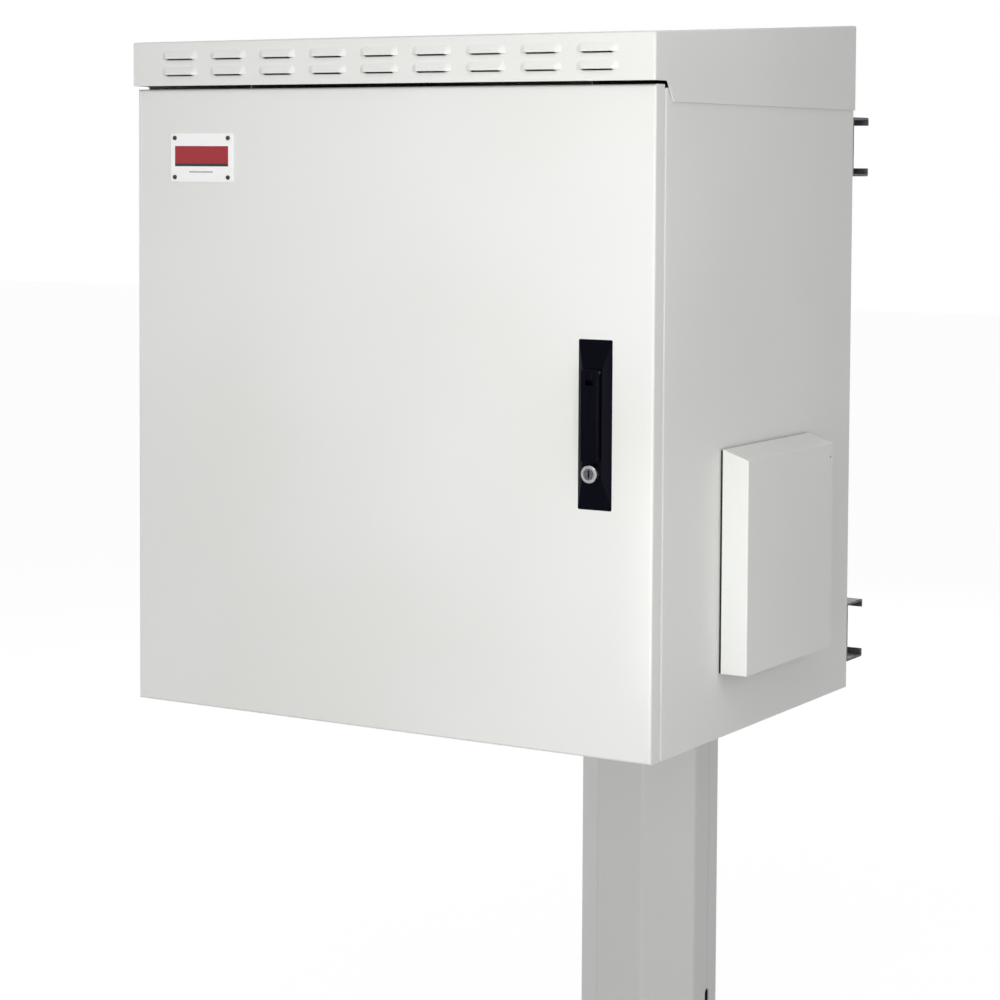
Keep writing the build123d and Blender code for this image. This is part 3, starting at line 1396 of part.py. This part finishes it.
with BuildPart() as gland_caps:
    add_hexagons(gland_cap_low, gland_places, gland_cap_hex, gland_cap_length)
    add_cylinders(gland_cap_low, gland_places, gland_bore_radius, gland_cap_length, Mode.SUBTRACT)
    add_cylinders(gland_seal_low, gland_places, gland_neck_radius + thread_clearance,
                  gland_neck_length + gland_seal_length, Mode.SUBTRACT)
gland_caps.part.label = "gland_caps"
export_step(gland_caps.part, "parts/gland_caps.step")

with BuildPart() as gland_seals:
    add_cylinders(gland_seal_low, gland_places, gland_neck_radius, gland_seal_length)
    add_cylinders(gland_seal_low, gland_places, gland_seal_bore, gland_seal_length, Mode.SUBTRACT)
gland_seals.part.label = "gland_seals"
export_step(gland_seals.part, "parts/gland_seals.step")

with BuildPart() as gland_locknuts:
    add_hexagons(plate_top, gland_places, gland_hex, gland_nut_height)
    add_cylinders(plate_top, gland_places, gland_thread_radius + thread_clearance, gland_nut_height, Mode.SUBTRACT)
gland_locknuts.part.label = "gland_locknuts"
export_step(gland_locknuts.part, "parts/gland_locknuts.step")

with BuildPart() as earth_stud:
    add_hexagons(plate_low, [earth_place], earth_flange_radius, earth_flange)
    add_cylinders(plate_low, [earth_place], earth_radius, -(sheet + earth_length))
    add_cylinders(plate_low, [earth_place], earth_neck_radius, -(sheet + earth_neck_below))
earth_stud.part.label = "earth_stud"
export_step(earth_stud.part, "parts/earth_stud.step")
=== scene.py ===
import bpy
import json
from math import cos, radians, sin
from mathutils import Matrix, Vector


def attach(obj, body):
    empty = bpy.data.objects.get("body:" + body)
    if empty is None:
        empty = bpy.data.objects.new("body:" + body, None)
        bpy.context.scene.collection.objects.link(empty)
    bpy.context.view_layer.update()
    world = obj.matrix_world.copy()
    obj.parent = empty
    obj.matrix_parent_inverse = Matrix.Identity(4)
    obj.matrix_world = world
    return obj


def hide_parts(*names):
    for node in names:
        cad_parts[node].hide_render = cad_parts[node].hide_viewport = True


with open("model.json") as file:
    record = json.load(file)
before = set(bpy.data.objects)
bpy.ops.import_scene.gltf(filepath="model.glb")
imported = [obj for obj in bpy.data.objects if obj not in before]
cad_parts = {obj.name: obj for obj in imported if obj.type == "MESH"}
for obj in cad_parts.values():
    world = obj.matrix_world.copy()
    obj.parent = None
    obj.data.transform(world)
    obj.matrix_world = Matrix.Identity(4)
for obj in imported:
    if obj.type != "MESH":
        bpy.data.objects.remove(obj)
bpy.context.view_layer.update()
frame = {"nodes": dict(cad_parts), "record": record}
nodes = frame["nodes"]
mm = 0.001
cabinetBottom = 480.0  # mm above the post's foot


def toLinear(hexColour):
    channels = [int(hexColour[start:start + 2], 16) / 255 for start in (1, 3, 5)]
    linear = [c / 12.92 if c <= 0.04045 else ((c + 0.055) / 1.055) ** 2.4 for c in channels]
    return (*linear, 1.0)


def addNode(tree, kind, inputs=None, links=None, **settings):
    node = tree.nodes.new(kind)
    for name, value in settings.items():
        setattr(node, name, value)
    for name, value in (inputs or {}).items():
        node.inputs[name].default_value = value
    for name, (source, output) in (links or {}).items():
        tree.links.new(source.outputs[output], node.inputs[name])
    return node


def startMaterial(name, **shaderInputs):
    material = bpy.data.materials.new(name)
    material.use_nodes = True
    tree = material.node_tree
    tree.nodes.clear()
    shader = addNode(tree, "ShaderNodeBsdfPrincipled", shaderInputs)
    addNode(tree, "ShaderNodeOutputMaterial", links={"Surface": (shader, "BSDF")})
    place = addNode(tree, "ShaderNodeTexCoord")
    return material, tree, shader, place


def addNoise(tree, place, sizeMm, detail=2.0, stretch=(1, 1, 1)):
    # a noise whose blots are about sizeMm across
    scale = 1 / (sizeMm * mm)
    mapping = addNode(
        tree,
        "ShaderNodeMapping",
        {"Scale": tuple(scale * part for part in stretch)},
        {"Vector": (place, "Object")},
    )
    return addNode(
        tree, "ShaderNodeTexNoise", {"Scale": 1.0, "Detail": detail}, {"Vector": (mapping, "Vector")}
    )


def tintBetween(tree, factor, lowHex, highHex, low=0.35, high=0.65):
    ramp = addNode(tree, "ShaderNodeValToRGB", links={"Fac": factor})
    ramp.color_ramp.elements[0].position = low
    ramp.color_ramp.elements[1].position = high
    ramp.color_ramp.elements[0].color = toLinear(lowHex)
    ramp.color_ramp.elements[1].color = toLinear(highHex)
    return ramp


def rangeBetween(tree, factor, low, high):
    return addNode(tree, "ShaderNodeMapRange", {"To Min": low, "To Max": high}, {"Value": factor})


def addBump(tree, shader, height, depthMm):
    bump = addNode(tree, "ShaderNodeBump", {"Strength": 1.0, "Distance": depthMm * mm}, {"Height": height})
    tree.links.new(bump.outputs["Normal"], shader.inputs["Normal"])


def paintOver(tree, mask, below, hexColour):
    # one flat colour where the mask is 1, and what lies below it elsewhere
    mix = addNode(tree, "ShaderNodeMix", data_type="RGBA")
    tree.links.new(mask, mix.inputs[0])
    tree.links.new(below, mix.inputs[6])
    mix.inputs[7].default_value = toLinear(hexColour)
    return mix.outputs[2]


def seenDirectly(tree):
    # 1 for what the camera sees, also in a reflection or through glass, and 0 for light on its way
    path = addNode(tree, "ShaderNodeLightPath")
    seen = addNode(
        tree,
        "ShaderNodeMath",
        links={0: (path, "Is Camera Ray"), 1: (path, "Is Glossy Ray")},
        operation="MAXIMUM",
    )
    return addNode(
        tree,
        "ShaderNodeMath",
        links={0: (seen, "Value"), 1: (path, "Is Transmission Ray")},
        operation="MAXIMUM",
    )


orangePeel = {"sizeMm": 2.2, "depthMm": 0.03, "cloudMm": 240}


def powderCoat(name, lowHex, highHex, roughness=(0.42, 0.5)):
    # baked polyester powder on sheet steel: a soft sheen over a faint orange peel
    material, tree, shader, place = startMaterial(name)
    broad = addNoise(tree, place, orangePeel["cloudMm"], detail=1.0)
    tint = tintBetween(tree, (broad, "Fac"), lowHex, highHex)
    tree.links.new(tint.outputs["Color"], shader.inputs["Base Color"])
    peel = addNoise(tree, place, orangePeel["sizeMm"], detail=1.0)
    gloss = rangeBetween(tree, (peel, "Fac"), *roughness)
    tree.links.new(gloss.outputs["Result"], shader.inputs["Roughness"])
    addBump(tree, shader, (peel, "Fac"), orangePeel["depthMm"])
    return material


# from the post's axis to the middle of its wall, across flats and across the folded corners, and the
# near-black of the painted shade inside it
postWall = {"flatMm": 72.5, "cornerMm": 71.3, "shadeHex": "#1B1B1C"}


def paintShadeInBore(material):
    # painted shade: the post is coated from outside, and its bore is coloured near-black for the dim shade
    # inside it
    tree = material.node_tree
    shader = next(node for node in tree.nodes if node.type == "BSDF_PRINCIPLED")
    painted = shader.inputs["Base Color"].links[0].from_socket
    place = addNode(tree, "ShaderNodeTexCoord")
    split = addNode(tree, "ShaderNodeSeparateXYZ", links={"Vector": (place, "Object")})
    across = addNode(tree, "ShaderNodeMath", links={0: (split, "X")}, operation="ABSOLUTE")
    along = addNode(tree, "ShaderNodeMath", links={0: (split, "Y")}, operation="ABSOLUTE")
    bothWays = {0: (across, "Value"), 1: (along, "Value")}
    flat = addNode(tree, "ShaderNodeMath", links=bothWays, operation="MAXIMUM")
    corner = addNode(tree, "ShaderNodeMath", links=bothWays, operation="ADD")
    insideFlat = addNode(
        tree, "ShaderNodeMath", {1: postWall["flatMm"] * mm}, {0: (flat, "Value")}, operation="LESS_THAN"
    )
    insideCorner = addNode(
        tree,
        "ShaderNodeMath",
        {1: postWall["cornerMm"] * mm / cos(radians(45))},
        {0: (corner, "Value")},
        operation="LESS_THAN",
    )
    inside = addNode(
        tree,
        "ShaderNodeMath",
        links={0: (insideFlat, "Value"), 1: (insideCorner, "Value")},
        operation="MULTIPLY",
    )
    # painted shade: near-black wherever a point lies inside the post's wall
    colour = paintOver(tree, inside.outputs["Value"], painted, postWall["shadeHex"])
    tree.links.new(colour, shader.inputs["Base Color"])
    return material


drawnGrain = {"sizeMm": 0.8, "depthMm": 0.01, "stretch": (0.05, 1, 1)}


def zincPlate(name, lowHex, highHex, roughness=(0.32, 0.46), grainMm=5.0, metallic=1.0):
    # electro-plated or dipped zinc on steel: cloudy grey metal, with a fine drawn grain
    material, tree, shader, place = startMaterial(name, Metallic=metallic)
    clouds = addNoise(tree, place, grainMm, detail=3.0)
    tint = tintBetween(tree, (clouds, "Fac"), lowHex, highHex)
    tree.links.new(tint.outputs["Color"], shader.inputs["Base Color"])
    gloss = rangeBetween(tree, (clouds, "Fac"), *roughness)
    tree.links.new(gloss.outputs["Result"], shader.inputs["Roughness"])
    drawn = addNoise(tree, place, drawnGrain["sizeMm"], stretch=drawnGrain["stretch"])
    addBump(tree, shader, (drawn, "Fac"), drawnGrain["depthMm"])
    return material


def mouldedPlastic(name, lowHex, highHex, roughness=(0.38, 0.5), grainMm=1.2, depthMm=0.02, shine=0.5):
    # injection-moulded plastic with a spark-eroded grain: it breaks the highlight up a little
    material, tree, shader, place = startMaterial(name, **{"Specular IOR Level": shine})
    grain = addNoise(tree, place, grainMm)
    tint = tintBetween(tree, (grain, "Fac"), lowHex, highHex)
    tree.links.new(tint.outputs["Color"], shader.inputs["Base Color"])
    gloss = rangeBetween(tree, (grain, "Fac"), *roughness)
    tree.links.new(gloss.outputs["Result"], shader.inputs["Roughness"])
    addBump(tree, shader, (grain, "Fac"), depthMm)
    return material


fleece = {"fibreMm": 2.0, "depthMm": 0.4, "detail": 4.0, "shortened": 0.2}


def fibreMat(name, lowHex, highHex):
    # needled polyester fleece: short crossed fibres, no gloss
    material, tree, shader, place = startMaterial(name, Roughness=0.95)
    size, detail, shortened = fleece["fibreMm"], fleece["detail"], fleece["shortened"]
    along = addNoise(tree, place, size, detail, stretch=(1, shortened, 1))
    across = addNoise(tree, place, size, detail, stretch=(1, 1, shortened))
    mixed = addNode(
        tree, "ShaderNodeMath", links={0: (along, "Fac"), 1: (across, "Fac")}, operation="MAXIMUM"
    )
    tint = tintBetween(tree, (mixed, "Value"), lowHex, highHex, low=0.4, high=0.7)
    tree.links.new(tint.outputs["Color"], shader.inputs["Base Color"])
    addBump(tree, shader, (mixed, "Value"), fleece["depthMm"])
    return material


badge = {
    "corner": (-257.0, 537.0),  # lower left corner on the door, mm
    "size": (78.0, 49.0),
    "whiteHex": "#FCFCFC",
    "areas": (
        # from, to across the plate, from, to up it, colour
        (0.07, 0.93, 0.38, 0.74, "#A01F2B"),
        (0.07, 0.93, 0.32, 0.38, "#2A2226"),
        (0.30, 0.68, 0.19, 0.22, "#A9A7AB"),
    ),
}


def printedPlate(name):
    # screen-printed aluminium plate: gloss white lacquer, a plain band and a short rule
    material, tree, shader, place = startMaterial(name, Roughness=0.3)
    split = addNode(tree, "ShaderNodeSeparateXYZ", links={"Vector": (place, "Object")})
    cornerX = badge["corner"][0] * mm
    cornerZ = (badge["corner"][1] + cabinetBottom) * mm
    across = addNode(
        tree,
        "ShaderNodeMapRange",
        {"From Min": cornerX, "From Max": cornerX + badge["size"][0] * mm},
        {"Value": (split, "X")},
    )
    up = addNode(
        tree,
        "ShaderNodeMapRange",
        {"From Min": cornerZ, "From Max": cornerZ + badge["size"][1] * mm},
        {"Value": (split, "Z")},
    )

    def within(source, lowest, highest):
        above = addNode(tree, "ShaderNodeMath", {1: lowest}, {0: source}, operation="GREATER_THAN")
        below = addNode(tree, "ShaderNodeMath", {1: highest}, {0: source}, operation="LESS_THAN")
        return addNode(
            tree, "ShaderNodeMath", links={0: (above, "Value"), 1: (below, "Value")}, operation="MULTIPLY"
        )

    def paintArea(baseSource, xRange, zRange, hexColour):
        xMask = within((across, "Result"), *xRange)
        zMask = within((up, "Result"), *zRange)
        mask = addNode(
            tree, "ShaderNodeMath", links={0: (xMask, "Value"), 1: (zMask, "Value")}, operation="MULTIPLY"
        )
        return paintOver(tree, mask.outputs["Value"], baseSource, hexColour)

    plain = addNode(tree, "ShaderNodeRGB")
    plain.outputs[0].default_value = toLinear(badge["whiteHex"])
    colour = plain.outputs[0]
    for left, right, bottom, top, hexColour in badge["areas"]:
        colour = paintArea(colour, (left, right), (bottom, top), hexColour)
    tree.links.new(colour, shader.inputs["Base Color"])
    return material


finishes = {
    "cabinet_paint": powderCoat("lightGreyPowderCoat", "#E4E5E1", "#E8E9E6"),
    # painted shade: the post has the cabinet's paint, coloured a little darker for its dimmer place under
    # the cabinet
    "post_paint": paintShadeInBore(powderCoat("postPowderCoatPaintedShade", "#D8D9D7", "#DCDDDB", (0.38, 0.46))),
    "zinc": zincPlate("zincPlatedSteel", "#A3A6A8", "#BFC2C4"),
    # painted shade: the rails are dull zinc, coloured darker still for the shade they sit in behind the
    # cabinet
    "rail_zinc": zincPlate(
        "dullZincWithPaintedShade", "#4E4F51", "#6A6B6D", (0.5, 0.65), grainMm=9.0, metallic=0.7
    ),
    "zinc_bright": zincPlate("brightZincSteel", "#BDBFC1", "#D6D8DA", (0.2, 0.32), grainMm=3.0),
    "bright_steel": zincPlate("nickelPlatedZincAlloy", "#9C9C9E", "#B0B0B2", (0.2, 0.3), grainMm=2.0),
    "dark_steel": zincPlate("darkSteelRivet", "#3A3A3C", "#505053", (0.35, 0.5), grainMm=1.5),
    "handle_black": mouldedPlastic("blackPolyamide", "#02020A", "#050511", (0.28, 0.38), shine=0.04),
    "seal_rubber": mouldedPlastic("blackRubber", "#101010", "#171717", (0.7, 0.85)),
    "seal_foam": mouldedPlastic(
        "foamedPolyurethane", "#1C1C1C", "#2A2A2A", (0.85, 0.95), grainMm=0.9, depthMm=0.15
    ),
    "fan_plastic": mouldedPlastic("blackGlassFilledPlastic", "#0D0D0E", "#161617", (0.45, 0.6)),
    "filter_fibre": fibreMat("whitePolyesterFleece", "#C9C9C3", "#EDEDE8"),
    "gland_plastic": mouldedPlastic("greyPolyamide", "#6C6F72", "#787B7E", (0.4, 0.5)),
    "badge_white": printedPlate("printedAluminiumPlate"),
}

nodeFinishes = {
    # the lock plug is coloured darker than the ring around it
    "key_plug": zincPlate("darkerLockPlug", "#4C4C4F", "#66666A", (0.3, 0.42), grainMm=1.5),
}

for part in frame["record"]["subparts"]:
    mesh = nodes[part["node"]].data
    mesh.materials.clear()
    mesh.materials.append(nodeFinishes.get(part["node"], finishes[part["material_slot"]]))
print("finishes set on", len(nodes), "nodes")


def deselectAll():
    if bpy.context.object and bpy.context.object.mode != "OBJECT":
        bpy.ops.object.mode_set(mode="OBJECT")
    bpy.ops.object.select_all(action="DESELECT")


cleanMesh = {"weldMm": 0.002, "flatAngle": 0.5, "smoothAngle": 35}


def mergedCopy(nodeName, newName, joinFlats=True):
    # the same piece as one welded mesh, ready to be worked on
    source = nodes[nodeName]
    piece = source.copy()
    piece.data = source.data.copy()
    piece.name = newName
    piece.parent = None
    for key in list(piece.keys()):
        del piece[key]
    bpy.context.scene.collection.objects.link(piece)
    deselectAll()
    piece.select_set(True)
    bpy.context.view_layer.objects.active = piece
    bpy.ops.object.mode_set(mode="EDIT")
    bpy.ops.mesh.select_all(action="SELECT")
    bpy.ops.mesh.remove_doubles(threshold=cleanMesh["weldMm"] * mm)
    if joinFlats:
        bpy.ops.mesh.dissolve_limited(angle_limit=radians(cleanMesh["flatAngle"]))
    bpy.ops.object.mode_set(mode="OBJECT")
    return piece


def setInPlace(piece, nodeName, body, smoothAngle=cleanMesh["smoothAngle"]):
    # shaded afresh, then handed to its body in place of the CAD node
    if piece.data.has_custom_normals:
        bpy.ops.mesh.customdata_custom_splitnormals_clear()
    bpy.ops.object.shade_smooth_by_angle(angle=radians(smoothAngle))
    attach(piece, body)
    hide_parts(nodeName)


swingHandle = {
    # node: name, width of its broken edges, body
    "handle_base": ("handleBase", 0.7, "door"),
    "handle_lever": ("handleLever", 0.5, "lever"),
    "handle_hub": ("handleHub", 0.3, "handle_shaft"),
}
brokenEdge = {"segments": 3, "sharperThan": 30}


def breakEdges(piece, widthMm):
    # sharp edges broken, so that they catch the light
    modifier = piece.modifiers.new("edges", "BEVEL")
    modifier.width = widthMm * mm
    modifier.segments = brokenEdge["segments"]
    modifier.limit_method = "ANGLE"
    modifier.angle_limit = radians(brokenEdge["sharperThan"])
    bpy.ops.object.modifier_apply(modifier=modifier.name)


for nodeName, (newName, widthMm, body) in swingHandle.items():
    piece = mergedCopy(nodeName, newName)
    breakEdges(piece, widthMm)
    setInPlace(piece, nodeName, body)
print("edges broken on", len(swingHandle), "pieces of the handle")

louvres = {
    "columns": 9,
    "pitch": 60.4,
    "lipZ": (1125.0, 1141.2),  # lower edges of the two rows
    "skirtY": -579.8,
    "mouth": (32.0, 6.0, 1.5),  # width, depth and height of the shear cut
    "lipPlay": 0.3,
    "smoothAngle": 18,  # under the slope of a louvre's ends, so their edges stay crisp
}


def cutLouvreMouths():
    # under each louvre the sheet is sheared open, so a dark slit shows below its lip
    cover = mergedCopy("roof_cover", "roofCover", joinFlats=False)
    deselectAll()
    width, depth, height = (side * mm for side in louvres["mouth"])
    cutters = []
    for column in range(louvres["columns"]):
        x = (column - (louvres["columns"] - 1) / 2) * louvres["pitch"] * mm
        for lipZ in louvres["lipZ"]:
            z = (lipZ + louvres["lipPlay"]) * mm - height / 2
            bpy.ops.mesh.primitive_cube_add(size=1, location=(x, louvres["skirtY"] * mm, z))
            bpy.context.object.scale = (width, depth, height)
            cutters.append(bpy.context.object)
    for cutter in cutters:
        cutter.select_set(True)
    bpy.ops.object.join()
    bpy.ops.object.transform_apply(location=True, rotation=True, scale=True)
    tool = bpy.context.object
    deselectAll()
    cover.select_set(True)
    bpy.context.view_layer.objects.active = cover
    modifier = cover.modifiers.new("mouths", "BOOLEAN")
    modifier.operation = "DIFFERENCE"
    modifier.solver = "EXACT"
    modifier.object = tool
    bpy.ops.object.modifier_apply(modifier=modifier.name)
    bpy.data.objects.remove(tool)
    setInPlace(cover, "roof_cover", "cabinet", louvres["smoothAngle"])


cutLouvreMouths()
print("louvre mouths cut")

# camera, fitted to the photo: metres, degrees and the photo's pixels
camera = {
    "place": (1.45379, -2.78169, 1.03897),
    "yaw": 30.853,
    "pitch": 3.344,
    "roll": 0.308,
    "focalPixels": 2709.95,
    "centreY": 320.1,
    "frame": 1000,
    "sensorMm": 36.0,
    "near": 0.05,
    "far": 50,
}


def addCamera():
    data = bpy.data.cameras.new("photoCamera")
    data.sensor_width = camera["sensorMm"]
    data.lens = camera["focalPixels"] * camera["sensorMm"] / camera["frame"]
    data.shift_y = camera["centreY"] / camera["frame"] - 0.5
    data.clip_start = camera["near"]
    data.clip_end = camera["far"]
    yaw, pitch, roll = (radians(camera[key]) for key in ("yaw", "pitch", "roll"))
    forward = Vector((-sin(yaw) * cos(pitch), cos(yaw) * cos(pitch), -sin(pitch)))
    level = Vector((cos(yaw), sin(yaw), 0))
    upright = level.cross(forward)
    right = cos(roll) * level + sin(roll) * upright
    up = -sin(roll) * level + cos(roll) * upright
    turned = Matrix((right, up, -forward)).transposed().to_4x4()
    holder = bpy.data.objects.new("photoCamera", data)
    bpy.context.scene.collection.objects.link(holder)
    holder.matrix_world = Matrix.Translation(camera["place"]) @ turned
    bpy.context.scene.camera = holder


studio = {
    "floorSize": 30,
    "floorDrop": 0.0005,
    "floorHex": "#DADADA",
    "floorGlow": 1.1,
    "glowShare": 0.85,  # the rest is the matt floor, which keeps the shadow
    "ambient": 0.3,  # what the world gives to the object
    "backdrop": 1.0,  # what the camera sees of it
}


def addFloor():
    # pale studio floor: white to the camera and in reflections, a real matt floor to the light
    bpy.ops.mesh.primitive_plane_add(size=studio["floorSize"], location=(0, 0, -studio["floorDrop"]))
    floor = bpy.context.object
    floor.name = "studioFloor"
    material, tree, shader, _ = startMaterial("paleStudioFloor", Roughness=0.9)
    shader.inputs["Base Color"].default_value = toLinear(studio["floorHex"])
    glow = addNode(
        tree, "ShaderNodeEmission", {"Color": (1, 1, 1, 1), "Strength": studio["floorGlow"]}
    )
    seen = seenDirectly(tree)
    share = addNode(
        tree, "ShaderNodeMath", {1: studio["glowShare"]}, {0: (seen, "Value")}, operation="MULTIPLY"
    )
    mix = addNode(
        tree,
        "ShaderNodeMixShader",
        links={"Fac": (share, "Value"), 1: (shader, "BSDF"), 2: (glow, "Emission")},
    )
    output = next(node for node in tree.nodes if node.type == "OUTPUT_MATERIAL")
    tree.links.new(mix.outputs[0], output.inputs["Surface"])
    floor.data.materials.append(material)


def addWorld():
    world = bpy.data.worlds.new("paleStudio")
    bpy.context.scene.world = world
    world.use_nodes = True
    tree = world.node_tree
    tree.nodes.clear()
    seen = seenDirectly(tree)
    strength = rangeBetween(tree, (seen, "Value"), studio["ambient"], studio["backdrop"])
    background = addNode(
        tree, "ShaderNodeBackground", {"Color": (1, 1, 1, 1)}, {"Strength": (strength, "Result")}
    )
    addNode(tree, "ShaderNodeOutputWorld", links={"Surface": (background, "Background")})


# soft boxes in front, and two behind for the sides that the photo doesn't show
lamps = {
    "frontLamp": {"place": (0.3, -3.2, 0.5), "aim": (0.0, -0.4, 0.6), "size": (1.6, 0.8), "watts": 16.0},
    "postLamp": {"place": (2.2, -2.4, 0.5), "aim": (0.0, -0.2, 0.6), "size": (1.2, 0.8), "watts": 8.0},
    "sideLamp": {"place": (2.6, -1.0, 1.5), "aim": (0.3, -0.3, 0.8), "size": (1.2, 1.2), "watts": 6.2},
    "topLamp": {"place": (0.0, -2.0, 2.6), "aim": (0.0, -0.5, 0.9), "size": (1.0, 1.0), "watts": 7.2},
    "cornerLamp": {"place": (0.8, -1.4, 2.0), "aim": (0.2, -0.5, 0.9), "size": (0.7, 0.7), "watts": 4.2},
    "doorLamp": {"place": (0.55, -1.25, 0.95), "aim": (0.2, -0.57, 0.9), "size": (0.3, 0.9), "watts": 1.7},
    "hoodLamp": {
        "place": (0.325, -0.71, 0.65),
        "aim": (0.325, 0.0, 0.65),
        "size": (0.03, 0.22),
        "watts": 0.0092,
        "spread": 0.9,
    },
    "rearLamp": {"place": (-0.8, 3.2, 1.6), "aim": (0.0, 0.0, 0.8), "size": (1.8, 1.2), "watts": 20.0},
    "leftLamp": {"place": (-3.0, 0.4, 1.4), "aim": (-0.3, -0.3, 0.8), "size": (1.2, 1.2), "watts": 14.0},
    "edgeStrip": {  # only for the shine on folds and metal
        "place": (3.0, -0.2, 0.9),
        "aim": (0.3, -0.4, 0.8),
        "size": (0.5, 2.4),
        "watts": 26.0,
        "onlyGlossy": True,
    },
}


def addLamps():
    for name, lamp in lamps.items():
        bpy.ops.object.light_add(type="AREA", location=lamp["place"])
        holder = bpy.context.object
        holder.name = name
        holder.data.shape = "RECTANGLE"
        holder.data.size, holder.data.size_y = lamp["size"]
        holder.data.energy = lamp["watts"]
        aim = Vector(lamp["aim"]) - Vector(lamp["place"])
        holder.rotation_euler = aim.to_track_quat("-Z", "Y").to_euler()
        holder.visible_camera = False
        holder.data.spread = lamp.get("spread", holder.data.spread)
        if lamp.get("onlyGlossy"):
            holder.visible_diffuse = False


addCamera()
addFloor()
addWorld()
addLamps()
bpy.context.scene.view_settings.view_transform = "Standard"
print("camera, floor and lamps set")
